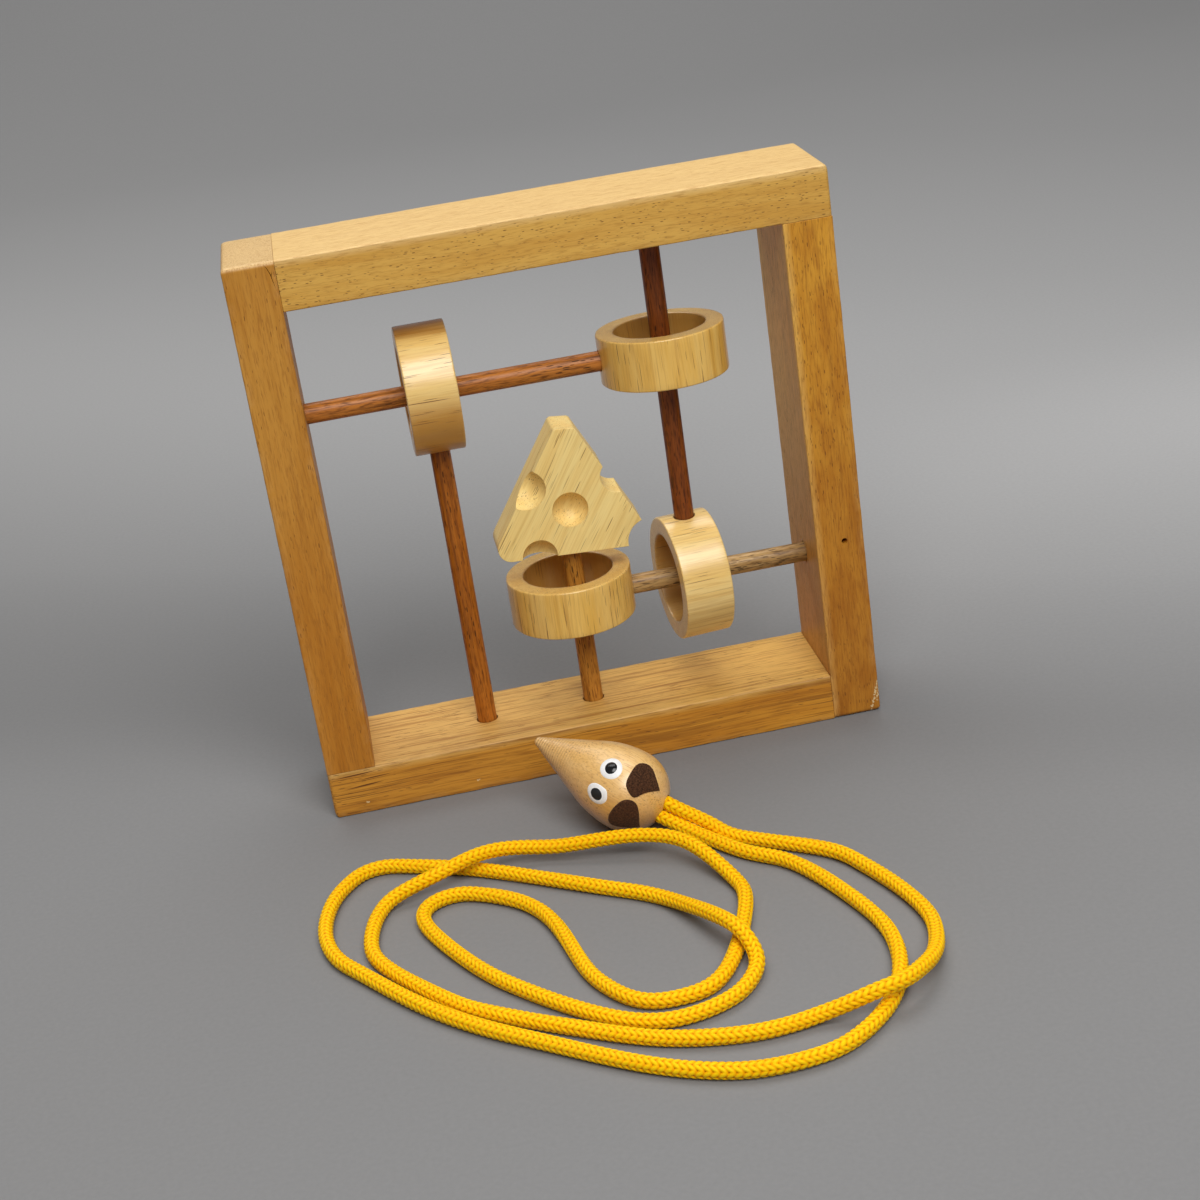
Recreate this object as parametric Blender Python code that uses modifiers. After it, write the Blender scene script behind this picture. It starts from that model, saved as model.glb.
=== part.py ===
"""Rope puzzle: a wooden frame of posts and rings, with a mouse on a loop of cord.

The frame stands on its bottom rail at z = 0, its middle on the z axis and its front towards -Y.
The mouse and its cord lie on the same surface in front of it.
"""
import math

import bmesh
import bpy
import numpy as np
from mathutils import Matrix, Vector

MM = 0.001

# Gap kept round every glued or seated piece
FIT = 0.3 * MM

# Bars of the frame, butted in a pinwheel
BAR_WIDTH = 12 * MM
BAR_DEPTH = 30 * MM
BAR_EDGE = 0.8 * MM

# Hidden dowel pins, two across each corner joint
PIN_DIAMETER = 5 * MM
PIN_IN_SIDE_GRAIN = 7 * MM
PIN_IN_END_GRAIN = 13 * MM
PIN_SPACING = 14 * MM

# Posts, and how deep their ends sit
POST_DIAMETER = 5 * MM
POST_IN_BAR = 8 * MM
POST_IN_RING = 3 * MM
POST_IN_CHEESE = 6 * MM

# Rings
RING_DIAMETER = 31.2 * MM
RING_BORE = 22.4 * MM
RING_LENGTH = 12.2 * MM
RING_EDGE = 0.6 * MM
# How far two of them are turned on their posts
UPPER_RIGHT_RING_TURN = math.radians(-2)
LOWER_RIGHT_RING_TURN = math.radians(5.6)

# Spaces from left to right across the window
LEFT_STILE_TO_LOW_POST = 29.8 * MM
LOW_POST_TO_CENTRE_RING = 8 * MM
CENTRE_RING_TO_CHEESE_POST = 1.5 * MM
CENTRE_RING_TO_LOW_RING = 9.1 * MM
HIGH_RING_TO_RIGHT_STILE = 13.7 * MM

# Spaces from bottom to top up the window
BOTTOM_RAIL_TO_LOW_RING = 13 * MM
CENTRE_RING_RISE = 1.2 * MM
CENTRE_RING_TO_CHEESE = 5 * MM
CHEESE_TO_LEFT_POST = 10.6 * MM
LEFT_RING_RISE = 1.1 * MM
LEFT_RING_TO_TOP_RAIL = 12 * MM

# Cheese: corners of its outline in mm from the foot of its post, with the radius of each corner
CHEESE_DEPTH = 11 * MM
CHEESE_EDGE = 0.7 * MM
CHEESE_FOOT_RISE = 1 * MM
CHEESE_CORNERS = (
    (-20.8, 2.0, 3.4), (21.2, -0.3, 1.0), (4.8, 32.7, 1.2), (-0.2, 33.3, 1.2),
)
# Bite marks: x, z and radius in mm, cut through as notches or sunk into the front as dimples
CHEESE_NOTCHES = ((19.6, 0.8, 5.7), (13.6, 18.9, 4.3))
CHEESE_DIMPLES = ((0.9, 12.4, 4.45), (-9.2, 19.3, 5.0), (-8.1, 1.7, 4.35))

# Mouse, turned from one piece: a ball drawn out to a blunt nose
MOUSE_RADIUS = 9.85 * MM
MOUSE_NOSE_LENGTH = 26.5 * MM
MOUSE_NOSE_RADIUS = 1.2 * MM
MOUSE_SHOULDER_RADIUS = 26.5 * MM
MOUSE_X = -0.5 * MM
MOUSE_Y = -49 * MM
MOUSE_HEADING = math.radians(138.5)
MOUSE_PITCH = math.radians(21)
MOUSE_ROLL = math.radians(56)

# Face of the mouse: distances along its axis from the ball's centre, nose positive
FACE_THICKNESS = 0.5 * MM
EYE_ALONG = 3 * MM
EYE_TURN = math.radians(19.6)
EYE_DIAMETER = 5 * MM
PUPIL_DIAMETER = 2.6 * MM
EAR_ALONG = -4.3 * MM
EAR_TURN = math.radians(30.6)
# Ear outline in mm from its middle: towards the tail, and away from the middle of the back
EAR_POINT = (4.7, 2.7)
EAR_CURVE = ((2.3, -2.6), (0.6, -4.1), (-1.4, -3.7), (-2.7, -1.5), (-2.6, 2.5), (-0.5, 4.2))

# Cord, with both ends glued into the mouse's tail
CORD_DIAMETER = 3.5 * MM
CORD_IN_MOUSE = 8 * MM
CORD_ENDS_TURN = math.radians(86)
CORD_ENDS_GAP = 0.5 * MM
CORD_CROSSING_GAP = 0.35 * MM
CORD_SAG = 0.45 * MM
# Route in mm: x, y and the layer, where 0 lies on the table and 1 rests on another strand
CORD_ROUTE = (
    (11.7, -57.4, 1.0), (16.5, -61.5, 0.5), (21.5, -66, 0.05), (38.5, -80, 0), (44, -88.5, 0),
    (48.5, -100, 0), (51.5, -113, 0), (51, -121, 0.05), (47.5, -131.5, 0.5), (42.5, -138.5, 0.95),
    (38, -142.3, 1.15), (33, -143.5, 1.1), (26.7, -143, 0.6), (20, -142.2, 0.1), (9, -143, 0),
    (-8.5, -139, 0), (-22, -131.5, 0), (-43, -116.5, 0), (-50, -109.5, 0), (-57, -100, 0),
    (-62.5, -91, 0), (-65, -82, 0), (-62, -67.5, 0), (-57.5, -63.5, 0.3), (-47, -62, 1.0),
    (-36, -57.7, 1.1), (-26, -56, 0.6), (-19, -58, 0.55), (-5.5, -62.5, 1.0), (6, -68, 1.05),
    (12, -76, 0.7), (16.3, -85, 0.05), (17, -91, 0), (14, -103, 0), (4, -122.5, 0), (-4, -125.5, 0),
    (-9.5, -125, 0), (-14, -122, 0), (-18, -116, 0), (-21, -108, 0), (-24.5, -89, 0), (-30.5, -76, 0),
    (-40, -68.3, 0), (-45, -66.8, 0), (-50, -68.4, 0), (-52.7, -73, 0), (-51, -82, 0), (-43, -99, 0),
    (-35.5, -110, 0), (-21, -125.7, 0), (-7.5, -132.6, 0), (4.5, -130, 0), (9.5, -126, 0),
    (12.7, -121, 0.1), (13.4, -117.5, 0.4), (12.5, -113.5, 0.9), (10, -108, 1.15), (2.5, -91, 0.25),
    (-3, -83.5, 0), (-13, -76, 0), (-29, -64, 0), (-42.5, -55, 0), (-54, -49.3, 0), (-60, -47.3, 0),
    (-65, -48.5, 0), (-68.5, -52, 0), (-72, -58, 0), (-74.8, -72, 0), (-72.5, -84, 0), (-68, -91.5, 0),
    (-56, -109, 0), (-43, -123, 0), (-33.5, -131, 0), (-16, -145, 0), (-2, -152.7, 0), (7.5, -155, 0),
    (18.5, -154.3, 0), (26, -151, 0), (36.5, -140, 0), (42, -121, 0), (39.5, -105, 0), (33.5, -89, 0),
    (28, -80, 0), (21.5, -74, 0), (13, -62.7, 0), (9.3, -59, 0.2),
)

# Facets
ROD_SIDES = 24
RING_SIDES = 48
MOUSE_SIDES = 48
ARC_STEP = math.radians(10)
BALL_RINGS = 16
EDGE_STEPS = 2
EAR_STEPS = 4
CORD_STEPS = 2
ROUTE_STEPS = 12
SHARP_ABOVE = math.radians(30)
EASED_ABOVE = math.radians(50)
CUT_MARGIN = 3 * MM
WELD = 0.001 * MM

# Places worked out from the sizes above
INNER_WIDTH = (
    LEFT_STILE_TO_LOW_POST + POST_DIAMETER / 2 + LOW_POST_TO_CENTRE_RING + RING_DIAMETER
    + CENTRE_RING_TO_LOW_RING + RING_LENGTH / 2 + RING_DIAMETER / 2 + HIGH_RING_TO_RIGHT_STILE
)
LEFT = -INNER_WIDTH / 2
RIGHT = INNER_WIDTH / 2
LOW_POST_X = LEFT + LEFT_STILE_TO_LOW_POST
CENTRE_RING_X = LOW_POST_X + POST_DIAMETER / 2 + LOW_POST_TO_CENTRE_RING + RING_DIAMETER / 2
CHEESE_X = CENTRE_RING_X + CENTRE_RING_TO_CHEESE_POST
TOP_POST_X = CENTRE_RING_X + RING_DIAMETER / 2 + CENTRE_RING_TO_LOW_RING + RING_LENGTH / 2
LOWER_ROW = BAR_WIDTH + BOTTOM_RAIL_TO_LOW_RING + RING_DIAMETER / 2
CENTRE_RING_Z = LOWER_ROW + CENTRE_RING_RISE
CHEESE_Z = CENTRE_RING_Z + RING_LENGTH / 2 + CENTRE_RING_TO_CHEESE
CHEESE_TOP = CHEESE_Z + max(z for _, z, _ in CHEESE_CORNERS) * MM
UPPER_ROW = CHEESE_TOP + CHEESE_TO_LEFT_POST + POST_DIAMETER / 2
LEFT_RING_Z = UPPER_ROW + LEFT_RING_RISE
TOP = LEFT_RING_Z + RING_DIAMETER / 2 + LEFT_RING_TO_TOP_RAIL

PARTS = bpy.data.collections.new("rope_puzzle")
CUTTERS = bpy.data.collections.new("cutters")


def material(name, colour, roughness):
    """A plain surface of one colour."""
    made = bpy.data.materials.new(name)
    made.use_nodes = True
    shader = made.node_tree.nodes["Principled BSDF"]
    shader.inputs["Base Color"].default_value = (*colour, 1)
    shader.inputs["Roughness"].default_value = roughness
    shader.inputs["Metallic"].default_value = 0
    made.diffuse_color = (*colour, 1)
    return made


def add_part(name, mesh, surface, matrix=None, parent=None):
    """Put a mesh into the puzzle as a named piece."""
    part = bpy.data.objects.new(name, mesh)
    mesh.materials.clear()
    mesh.materials.append(surface)
    mesh.shade_smooth()
    mesh.set_sharp_from_angle(angle=SHARP_ABOVE)
    PARTS.objects.link(part)
    part.parent = parent
    if matrix is not None:
        part.matrix_local = matrix
    return part


def add_cutter(name, mesh, matrix=None, parent=None):
    """Put a mesh among the cutters, which are no part of the puzzle."""
    cutter = bpy.data.objects.new(name, mesh)
    CUTTERS.objects.link(cutter)
    cutter.parent = parent
    if matrix is not None:
        cutter.matrix_local = matrix
    cutter.hide_render = True
    cutter.display_type = "WIRE"
    return cutter


def cut(part, cutter, operation="DIFFERENCE"):
    boolean = part.modifiers.new(cutter.name, "BOOLEAN")
    boolean.operation = operation
    boolean.solver = "EXACT"
    boolean.object = cutter


def evaluated_mesh(source):
    """The mesh of an object with its modifiers or curve settings applied, welded; the object goes."""
    bpy.context.scene.collection.objects.link(source)
    bpy.context.view_layer.update()
    mesh = bpy.data.meshes.new_from_object(source.evaluated_get(bpy.context.evaluated_depsgraph_get()))
    bpy.data.objects.remove(source)
    form = bmesh.new()
    form.from_mesh(mesh)
    bmesh.ops.remove_doubles(form, verts=form.verts, dist=WELD)
    form.to_mesh(mesh)
    form.free()
    return mesh


def turned_mesh(name, profile, sides, closed):
    """Turn a profile of (radius, height) points, outer side running down, about the z axis."""
    mesh = bpy.data.meshes.new(name)
    edges = [(i, i + 1) for i in range(len(profile) - 1)]
    if closed:
        edges.append((len(profile) - 1, 0))
    mesh.from_pydata([(radius, 0, height) for radius, height in profile], edges, [])
    source = bpy.data.objects.new(name, mesh)
    screw = source.modifiers.new("turn", "SCREW")
    screw.axis = "Z"
    screw.steps = sides
    screw.render_steps = sides
    screw.use_merge_vertices = True
    screw.merge_threshold = WELD
    return evaluated_mesh(source)


def outline_mesh(name, splines, thickness):
    """Extrude a flat outline, given as a function that adds splines to a 2D curve."""
    curve = bpy.data.curves.new(name, "CURVE")
    curve.dimensions = "2D"
    curve.fill_mode = "BOTH"
    curve.extrude = thickness / 2
    splines(curve)
    return evaluated_mesh(bpy.data.objects.new(name, curve))


def arc(centre_x, centre_y, radius, start, end):
    """Points along an arc, both ends included."""
    steps = max(2, math.ceil(abs(end - start) / ARC_STEP))
    angles = [start + (end - start) * i / steps for i in range(steps + 1)]
    return [(centre_x + radius * math.cos(a), centre_y + radius * math.sin(a)) for a in angles]


def rod_mesh(name, length, diameter):
    mesh = bpy.data.meshes.new(name)
    form = bmesh.new()
    bmesh.ops.create_cone(
        form, cap_ends=True, segments=ROD_SIDES, radius1=diameter / 2, radius2=diameter / 2, depth=length,
    )
    form.to_mesh(mesh)
    form.free()
    return mesh


def along(start, end):
    """A place midway between two points, with z running from the first to the second."""
    turn = (end - start).to_track_quat("Z", "Y").to_matrix().to_4x4()
    return Matrix.Translation((start + end) / 2) @ turn


def add_rod(name, start, end, diameter, surface, hosts):
    """A rod from one point to the other, with a blind hole for it in each host."""
    length = (end - start).length
    rod = add_part(name, rod_mesh(name, length, diameter), surface, along(start, end))
    add_hole(name + "_hole", start, end, length + 2 * FIT, diameter + 2 * FIT, hosts)
    return rod


def add_hole(name, start, end, length, diameter, hosts):
    hole = add_cutter(name, rod_mesh(name, length, diameter), along(start, end))
    for host in hosts:
        cut(host, hole)


def add_bar(name, low, high, surface):
    """A bar with eased edges that fills the box between two corners."""
    mesh = bpy.data.meshes.new(name)
    form = bmesh.new()
    bmesh.ops.create_cube(form, size=1)
    bmesh.ops.scale(form, vec=high - low, verts=form.verts)
    form.to_mesh(mesh)
    form.free()
    bar = add_part(name, mesh, surface, Matrix.Translation((low + high) / 2))
    bevel = bar.modifiers.new("eased_edges", "BEVEL")
    bevel.width = BAR_EDGE
    bevel.segments = EDGE_STEPS
    return bar


def build_frame(wood, pin_wood):
    """Four bars, each butted against the side of the next, pinned at the corners."""
    front = -BAR_DEPTH / 2
    back = BAR_DEPTH / 2
    spans = {
        "top_rail": ((LEFT + FIT, TOP), (RIGHT + BAR_WIDTH, TOP + BAR_WIDTH)),
        "right_stile": ((RIGHT, 0), (RIGHT + BAR_WIDTH, TOP - FIT)),
        "bottom_rail": ((LEFT - BAR_WIDTH, 0), (RIGHT - FIT, BAR_WIDTH)),
        "left_stile": ((LEFT - BAR_WIDTH, BAR_WIDTH + FIT), (LEFT, TOP + BAR_WIDTH)),
    }
    bars = {
        name: add_bar(name, Vector((low[0], front, low[1])), Vector((high[0], back, high[1])), wood)
        for name, (low, high) in spans.items()
    }
    middle = BAR_WIDTH / 2
    corners = {
        "top_left": ("left_stile", "top_rail", Vector((LEFT, 0, TOP + middle)), Vector((-1, 0, 0))),
        "top_right": ("top_rail", "right_stile", Vector((RIGHT + middle, 0, TOP)), Vector((0, 0, 1))),
        "bottom_right": ("right_stile", "bottom_rail", Vector((RIGHT, 0, middle)), Vector((1, 0, 0))),
        "bottom_left": ("bottom_rail", "left_stile", Vector((LEFT - middle, 0, BAR_WIDTH)), Vector((0, 0, -1))),
    }
    for corner, (side_bar, end_bar, joint, into_side) in corners.items():
        for place, shift in (("front", -PIN_SPACING / 2), ("back", PIN_SPACING / 2)):
            across = joint + Vector((0, shift, 0))
            add_rod(
                f"pin_{corner}_{place}", across + into_side * PIN_IN_SIDE_GRAIN,
                across - into_side * PIN_IN_END_GRAIN, PIN_DIAMETER, pin_wood,
                (bars[side_bar], bars[end_bar]),
            )
    return bars


def add_ring(name, x, z, lies_along_x, surface, turn=0):
    """A ring with chamfered rims, its axis upright or along the frame, turned on the post that carries it."""
    outer = RING_DIAMETER / 2
    inner = RING_BORE / 2
    half = RING_LENGTH / 2
    profile = (
        (inner + RING_EDGE, half), (outer - RING_EDGE, half), (outer, half - RING_EDGE),
        (outer, RING_EDGE - half), (outer - RING_EDGE, -half), (inner + RING_EDGE, -half),
        (inner, RING_EDGE - half), (inner, half - RING_EDGE),
    )
    mesh = turned_mesh(name, profile, RING_SIDES, closed=True)
    place = Matrix.Translation((x, 0, z)) @ Matrix.Rotation(turn, 4, "Z" if lies_along_x else "X")
    if lies_along_x:
        place = place @ Matrix.Rotation(math.pi / 2, 4, "Y")
    return add_part(name, mesh, surface, place)


def rounded_corners(corners):
    """Points round an outline whose corners, listed anticlockwise, are arcs of their own radius."""
    points = []
    for i, (x, y, radius) in enumerate(corners):
        here = Vector((x, y)) * MM
        back = (Vector(corners[i - 1][:2]) * MM - here).normalized()
        ahead = (Vector(corners[(i + 1) % len(corners)][:2]) * MM - here).normalized()
        half_angle = back.angle(ahead) / 2
        centre = here + (back + ahead).normalized() * (radius * MM / math.sin(half_angle))
        start = math.atan2(back.x, -back.y)
        sweep = math.pi - 2 * half_angle
        points += arc(centre.x, centre.y, radius * MM, start, start + sweep)
    return points


def add_poly(curve, points):
    spline = curve.splines.new("POLY")
    spline.points.add(len(points) - 1)
    for target, point in zip(spline.points, points):
        target.co = (*point, *[0] * (3 - len(point)), 1)
    return spline


def add_cheese(surface):
    """A wedge of cheese sawn from board, with bites out of its edges and dimples in its front."""
    def outline(curve):
        add_poly(curve, rounded_corners(CHEESE_CORNERS)).use_cyclic_u = True

    upright = Matrix.Translation((CHEESE_X, 0, CHEESE_Z)) @ Matrix.Rotation(math.pi / 2, 4, "X")
    cheese = add_part("cheese_wedge", outline_mesh("cheese_wedge", outline, CHEESE_DEPTH), surface, upright)
    for i, (x, z, radius) in enumerate(CHEESE_NOTCHES):
        centre = Vector((CHEESE_X + x * MM, 0, CHEESE_Z + z * MM))
        reach = Vector((0, CHEESE_DEPTH / 2 + CUT_MARGIN, 0))
        add_hole(f"cheese_notch_{i}", centre - reach, centre + reach, 2 * reach.y, 2 * radius * MM, (cheese,))
    bevel = cheese.modifiers.new("eased_edges", "BEVEL")
    bevel.width = CHEESE_EDGE
    bevel.segments = EDGE_STEPS
    bevel.limit_method = "ANGLE"
    bevel.angle_limit = EASED_ABOVE
    for i, (x, z, radius) in enumerate(CHEESE_DIMPLES):
        mesh = bpy.data.meshes.new(f"cheese_dimple_{i}")
        form = bmesh.new()
        bmesh.ops.create_uvsphere(form, u_segments=ROD_SIDES, v_segments=BALL_RINGS, radius=radius * MM)
        form.to_mesh(mesh)
        form.free()
        centre = (CHEESE_X + x * MM, -CHEESE_DEPTH / 2, CHEESE_Z + z * MM)
        cut(cheese, add_cutter(mesh.name, mesh, Matrix.Translation(centre)))
    return cheese


def add_posts(surface, bars, rings, cheese):
    """Five posts, each from a bar to the ring or the cheese that it carries."""
    into_bar = POST_IN_BAR
    ring_wall = RING_DIAMETER / 2 - POST_IN_RING
    posts = {
        "left_post": (
            (LEFT - into_bar, UPPER_ROW), (TOP_POST_X - ring_wall, UPPER_ROW),
            bars["left_stile"], rings["upper_right_ring"],
        ),
        "low_post": (
            (LOW_POST_X, BAR_WIDTH - into_bar), (LOW_POST_X, LEFT_RING_Z - ring_wall),
            bars["bottom_rail"], rings["upper_left_ring"],
        ),
        "top_post": (
            (TOP_POST_X, TOP + into_bar), (TOP_POST_X, LOWER_ROW + ring_wall),
            bars["top_rail"], rings["lower_right_ring"],
        ),
        "right_post": (
            (RIGHT + into_bar, LOWER_ROW), (CENTRE_RING_X + ring_wall, LOWER_ROW),
            bars["right_stile"], rings["centre_ring"],
        ),
        "cheese_post": (
            (CHEESE_X, BAR_WIDTH - into_bar), (CHEESE_X, CHEESE_Z + CHEESE_FOOT_RISE + POST_IN_CHEESE),
            bars["bottom_rail"], cheese,
        ),
    }
    for name, (start, end, bar, carried) in posts.items():
        foot = Vector((start[0], 0, start[1]))
        head = Vector((end[0], 0, end[1]))
        add_rod(name, foot, head, POST_DIAMETER, surface, (bar, carried))


def mouse_profile(grown):
    """The mouse's outline from nose to tail as (radius, height), moved out by an even distance."""
    nose_height = MOUSE_NOSE_LENGTH - MOUSE_NOSE_RADIUS
    inset = MOUSE_SHOULDER_RADIUS - MOUSE_RADIUS
    between = math.hypot(inset, nose_height)
    slope = math.atan2(nose_height, inset) - math.acos((MOUSE_SHOULDER_RADIUS - MOUSE_NOSE_RADIUS) / between)
    nose = arc(0, nose_height, MOUSE_NOSE_RADIUS + grown, math.pi / 2, slope)
    shoulder = arc(-inset, 0, MOUSE_SHOULDER_RADIUS + grown, slope, 0)
    tail = arc(0, 0, MOUSE_RADIUS + grown, 0, -math.pi / 2)
    return [(0, nose[0][1])] + nose[1:] + shoulder + tail[1:-1] + [(0, tail[-1][1])]


def on_mouse(distance, turn):
    """A place on the mouse's skin: x towards the tail, y round the body, z straight out."""
    curve_radius = MOUSE_SHOULDER_RADIUS if distance > 0 else MOUSE_RADIUS
    rise = math.asin(distance / curve_radius)
    radius = MOUSE_RADIUS - curve_radius + curve_radius * math.cos(rise)
    skin = Matrix.Translation((radius, 0, distance)) @ Matrix.Rotation(math.pi / 2 - rise, 4, "Y")
    return Matrix.Rotation(turn, 4, "Z") @ skin


def add_face_piece(name, mesh, place, parent, skins, surface):
    """A thin piece that follows the mouse's skin, cut out of a prism between two grown copies of it."""
    inner, outer = skins
    piece = add_part(name, mesh, surface, place, parent)
    cut(piece, outer, "INTERSECT")
    cut(piece, inner)
    return piece


def ear_mesh(name, side):
    """A leaf shape with one sharp corner towards the tail, mirrored for the other side."""
    def outline(curve):
        spline = curve.splines.new("BEZIER")
        spline.use_cyclic_u = True
        spline.bezier_points.add(len(EAR_CURVE))
        for target, (tailward, outward) in zip(spline.bezier_points, (EAR_POINT, *EAR_CURVE)):
            target.co = (tailward * MM, side * outward * MM, 0)
            target.handle_left_type = target.handle_right_type = "AUTO"
        corner = spline.bezier_points[0]
        corner.handle_left_type = corner.handle_right_type = "VECTOR"
        curve.resolution_u = EAR_STEPS

    return outline_mesh(name, outline, 2 * CUT_MARGIN)


def add_mouse(wood, leather, white, black):
    """The turned mouse with its ears and eyes, and the two holes for the ends of its cord."""
    axis = bpy.data.objects.new("mouse_axis", None)
    PARTS.objects.link(axis)
    axis.matrix_world = (
        Matrix.Translation((MOUSE_X, MOUSE_Y, MOUSE_RADIUS)) @ Matrix.Rotation(MOUSE_HEADING, 4, "Z")
        @ Matrix.Rotation(math.pi / 2 - MOUSE_PITCH, 4, "Y") @ Matrix.Rotation(math.pi - MOUSE_ROLL, 4, "Z")
    )
    body = add_part("mouse_body", turned_mesh("mouse_body", mouse_profile(0), MOUSE_SIDES, False), wood,
                    parent=axis)
    skins = [
        add_cutter(name, turned_mesh(name, mouse_profile(grown), MOUSE_SIDES, False), parent=axis)
        for name, grown in (("mouse_skin_inner", FIT), ("mouse_skin_outer", FIT + FACE_THICKNESS))
    ]
    tall = 2 * CUT_MARGIN
    for label, side in (("left", -1), ("right", 1)):
        eye = on_mouse(EYE_ALONG, side * EYE_TURN)
        ear = on_mouse(EAR_ALONG, side * EAR_TURN)
        name = f"mouse_ear_{label}"
        add_face_piece(name, ear_mesh(name, side), ear, axis, skins, leather)
        name = f"mouse_pupil_{label}"
        add_face_piece(name, rod_mesh(name, tall, PUPIL_DIAMETER), eye, axis, skins, black)
        name = f"mouse_eye_{label}"
        ring = add_face_piece(name, rod_mesh(name, tall, EYE_DIAMETER), eye, axis, skins, white)
        hole = f"mouse_eye_hole_{label}"
        cut(ring, add_cutter(hole, rod_mesh(hole, 2 * tall, PUPIL_DIAMETER + 2 * FIT), eye, axis))
    return body, axis


def cord_end_lines(axis):
    """Each cord end's line in the mouse: where it leaves the tail, and where it stops inside."""
    spread = (CORD_DIAMETER + CORD_ENDS_GAP) / 2
    lines = []
    for side in (1, -1):
        x = side * spread * math.cos(CORD_ENDS_TURN)
        y = side * spread * math.sin(CORD_ENDS_TURN)
        out = axis.matrix_world @ Vector((x, y, -MOUSE_RADIUS))
        stop = axis.matrix_world @ Vector((x, y, CORD_IN_MOUSE - MOUSE_RADIUS))
        lines.append((out, stop))
    return lines


def smooth_route(points, first_way, last_way):
    """A curve through the points that bends evenly, leaving and arriving in the given directions."""
    points = np.array(points)
    gaps = np.linalg.norm(np.diff(points, axis=0), axis=1)
    spans = np.sqrt(gaps)
    count = len(points)
    system = np.eye(count)
    target = np.zeros((count, 3))
    target[0] = np.array(first_way) * gaps[0] / spans[0]
    target[-1] = np.array(last_way) * gaps[-1] / spans[-1]
    for i in range(1, count - 1):
        before, after = 1 / spans[i - 1], 1 / spans[i]
        system[i, i - 1:i + 2] = before, 2 * (before + after), after
        steps = (points[i] - points[i - 1]) * before**2 + (points[i + 1] - points[i]) * after**2
        target[i] = 3 * steps
    speeds = np.linalg.solve(system, target)
    t = np.linspace(0, 1, ROUTE_STEPS, endpoint=False)[:, None]
    pieces = [
        (2 * t**3 - 3 * t**2 + 1) * points[i] + (t**3 - 2 * t**2 + t) * spans[i] * speeds[i]
        + (3 * t**2 - 2 * t**3) * points[i + 1] + (t**3 - t**2) * spans[i] * speeds[i + 1]
        for i in range(count - 1)
    ]
    return np.vstack((*pieces, points[-1:]))


def fewer_points(curve, sag):
    """The fewest points in order that keep a curve within a small distance of its chords."""
    kept = [0]
    for end in range(2, len(curve)):
        chord = curve[end] - curve[kept[-1]]
        between = curve[kept[-1] + 1:end] - curve[kept[-1]]
        off = between - np.outer(between @ chord / (chord @ chord), chord)
        if np.linalg.norm(off, axis=1).max() > sag:
            kept.append(end - 1)
    return curve[kept + [len(curve) - 1]]


def add_cord(surface, body, axis):
    """One loop of cord, from the mouse's tail round the table and back into the tail."""
    (start, start_stop), (finish, finish_stop) = cord_end_lines(axis)
    nose_way = (start_stop - start).normalized()
    for i, (out, stop) in enumerate(((start, start_stop), (finish, finish_stop))):
        beyond = out - nose_way * CUT_MARGIN
        bottom = stop + nose_way * FIT
        add_hole(f"tail_hole_{i}", beyond, bottom, (bottom - beyond).length, CORD_DIAMETER + 2 * FIT, (body,))
    layer = CORD_DIAMETER + CORD_CROSSING_GAP
    lying = [(x * MM, y * MM, CORD_DIAMETER / 2 + level * layer) for x, y, level in CORD_ROUTE]
    route = smooth_route([start_stop, start, *lying, finish, finish_stop], -nose_way, nose_way)
    route[:, 2] = np.maximum(route[:, 2], CORD_DIAMETER / 2)
    curve = bpy.data.curves.new("cord_loop", "CURVE")
    curve.dimensions = "3D"
    add_poly(curve, fewer_points(route, CORD_SAG))
    curve.bevel_depth = CORD_DIAMETER / 2
    curve.bevel_resolution = CORD_STEPS
    curve.use_fill_caps = True
    curve.materials.append(surface)
    PARTS.objects.link(bpy.data.objects.new("cord_loop", curve))


def main():
    for old in list(bpy.data.objects):
        bpy.data.objects.remove(old)
    for collection in (PARTS, CUTTERS):
        bpy.context.scene.collection.children.link(collection)

    bar_wood = material("oiled_bar_wood", (0.42, 0.2, 0.06), 0.45)
    pin_wood = material("pale_pin_wood", (0.55, 0.36, 0.17), 0.6)
    post_wood = material("red_brown_post_wood", (0.3, 0.11, 0.04), 0.4)
    ring_wood = material("straw_ring_wood", (0.68, 0.47, 0.22), 0.5)
    mouse_wood = material("light_brown_mouse_wood", (0.6, 0.34, 0.13), 0.45)
    leather = material("dark_brown_leather", (0.035, 0.018, 0.012), 0.8)
    white = material("white_paint", (0.85, 0.85, 0.83), 0.4)
    black = material("black_paint", (0.008, 0.008, 0.008), 0.2)
    yellow = material("yellow_cord", (0.95, 0.42, 0.01), 0.7)

    bars = build_frame(bar_wood, pin_wood)
    rings = {
        "upper_left_ring": add_ring("upper_left_ring", LOW_POST_X, LEFT_RING_Z, True, ring_wood),
        "upper_right_ring": add_ring(
            "upper_right_ring", TOP_POST_X, UPPER_ROW, False, ring_wood, UPPER_RIGHT_RING_TURN,
        ),
        "lower_right_ring": add_ring(
            "lower_right_ring", TOP_POST_X, LOWER_ROW, True, ring_wood, LOWER_RIGHT_RING_TURN,
        ),
        "centre_ring": add_ring("centre_ring", CENTRE_RING_X, CENTRE_RING_Z, False, ring_wood),
    }
    cheese = add_cheese(ring_wood)
    add_posts(post_wood, bars, rings, cheese)
    body, axis = add_mouse(mouse_wood, leather, white, black)
    add_cord(yellow, body, axis)


main()
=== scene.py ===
"""Rope puzzle: the looks of each piece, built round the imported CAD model."""
import math

import bmesh
import bpy
import numpy as np
from mathutils import Matrix, Vector, noise


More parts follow.
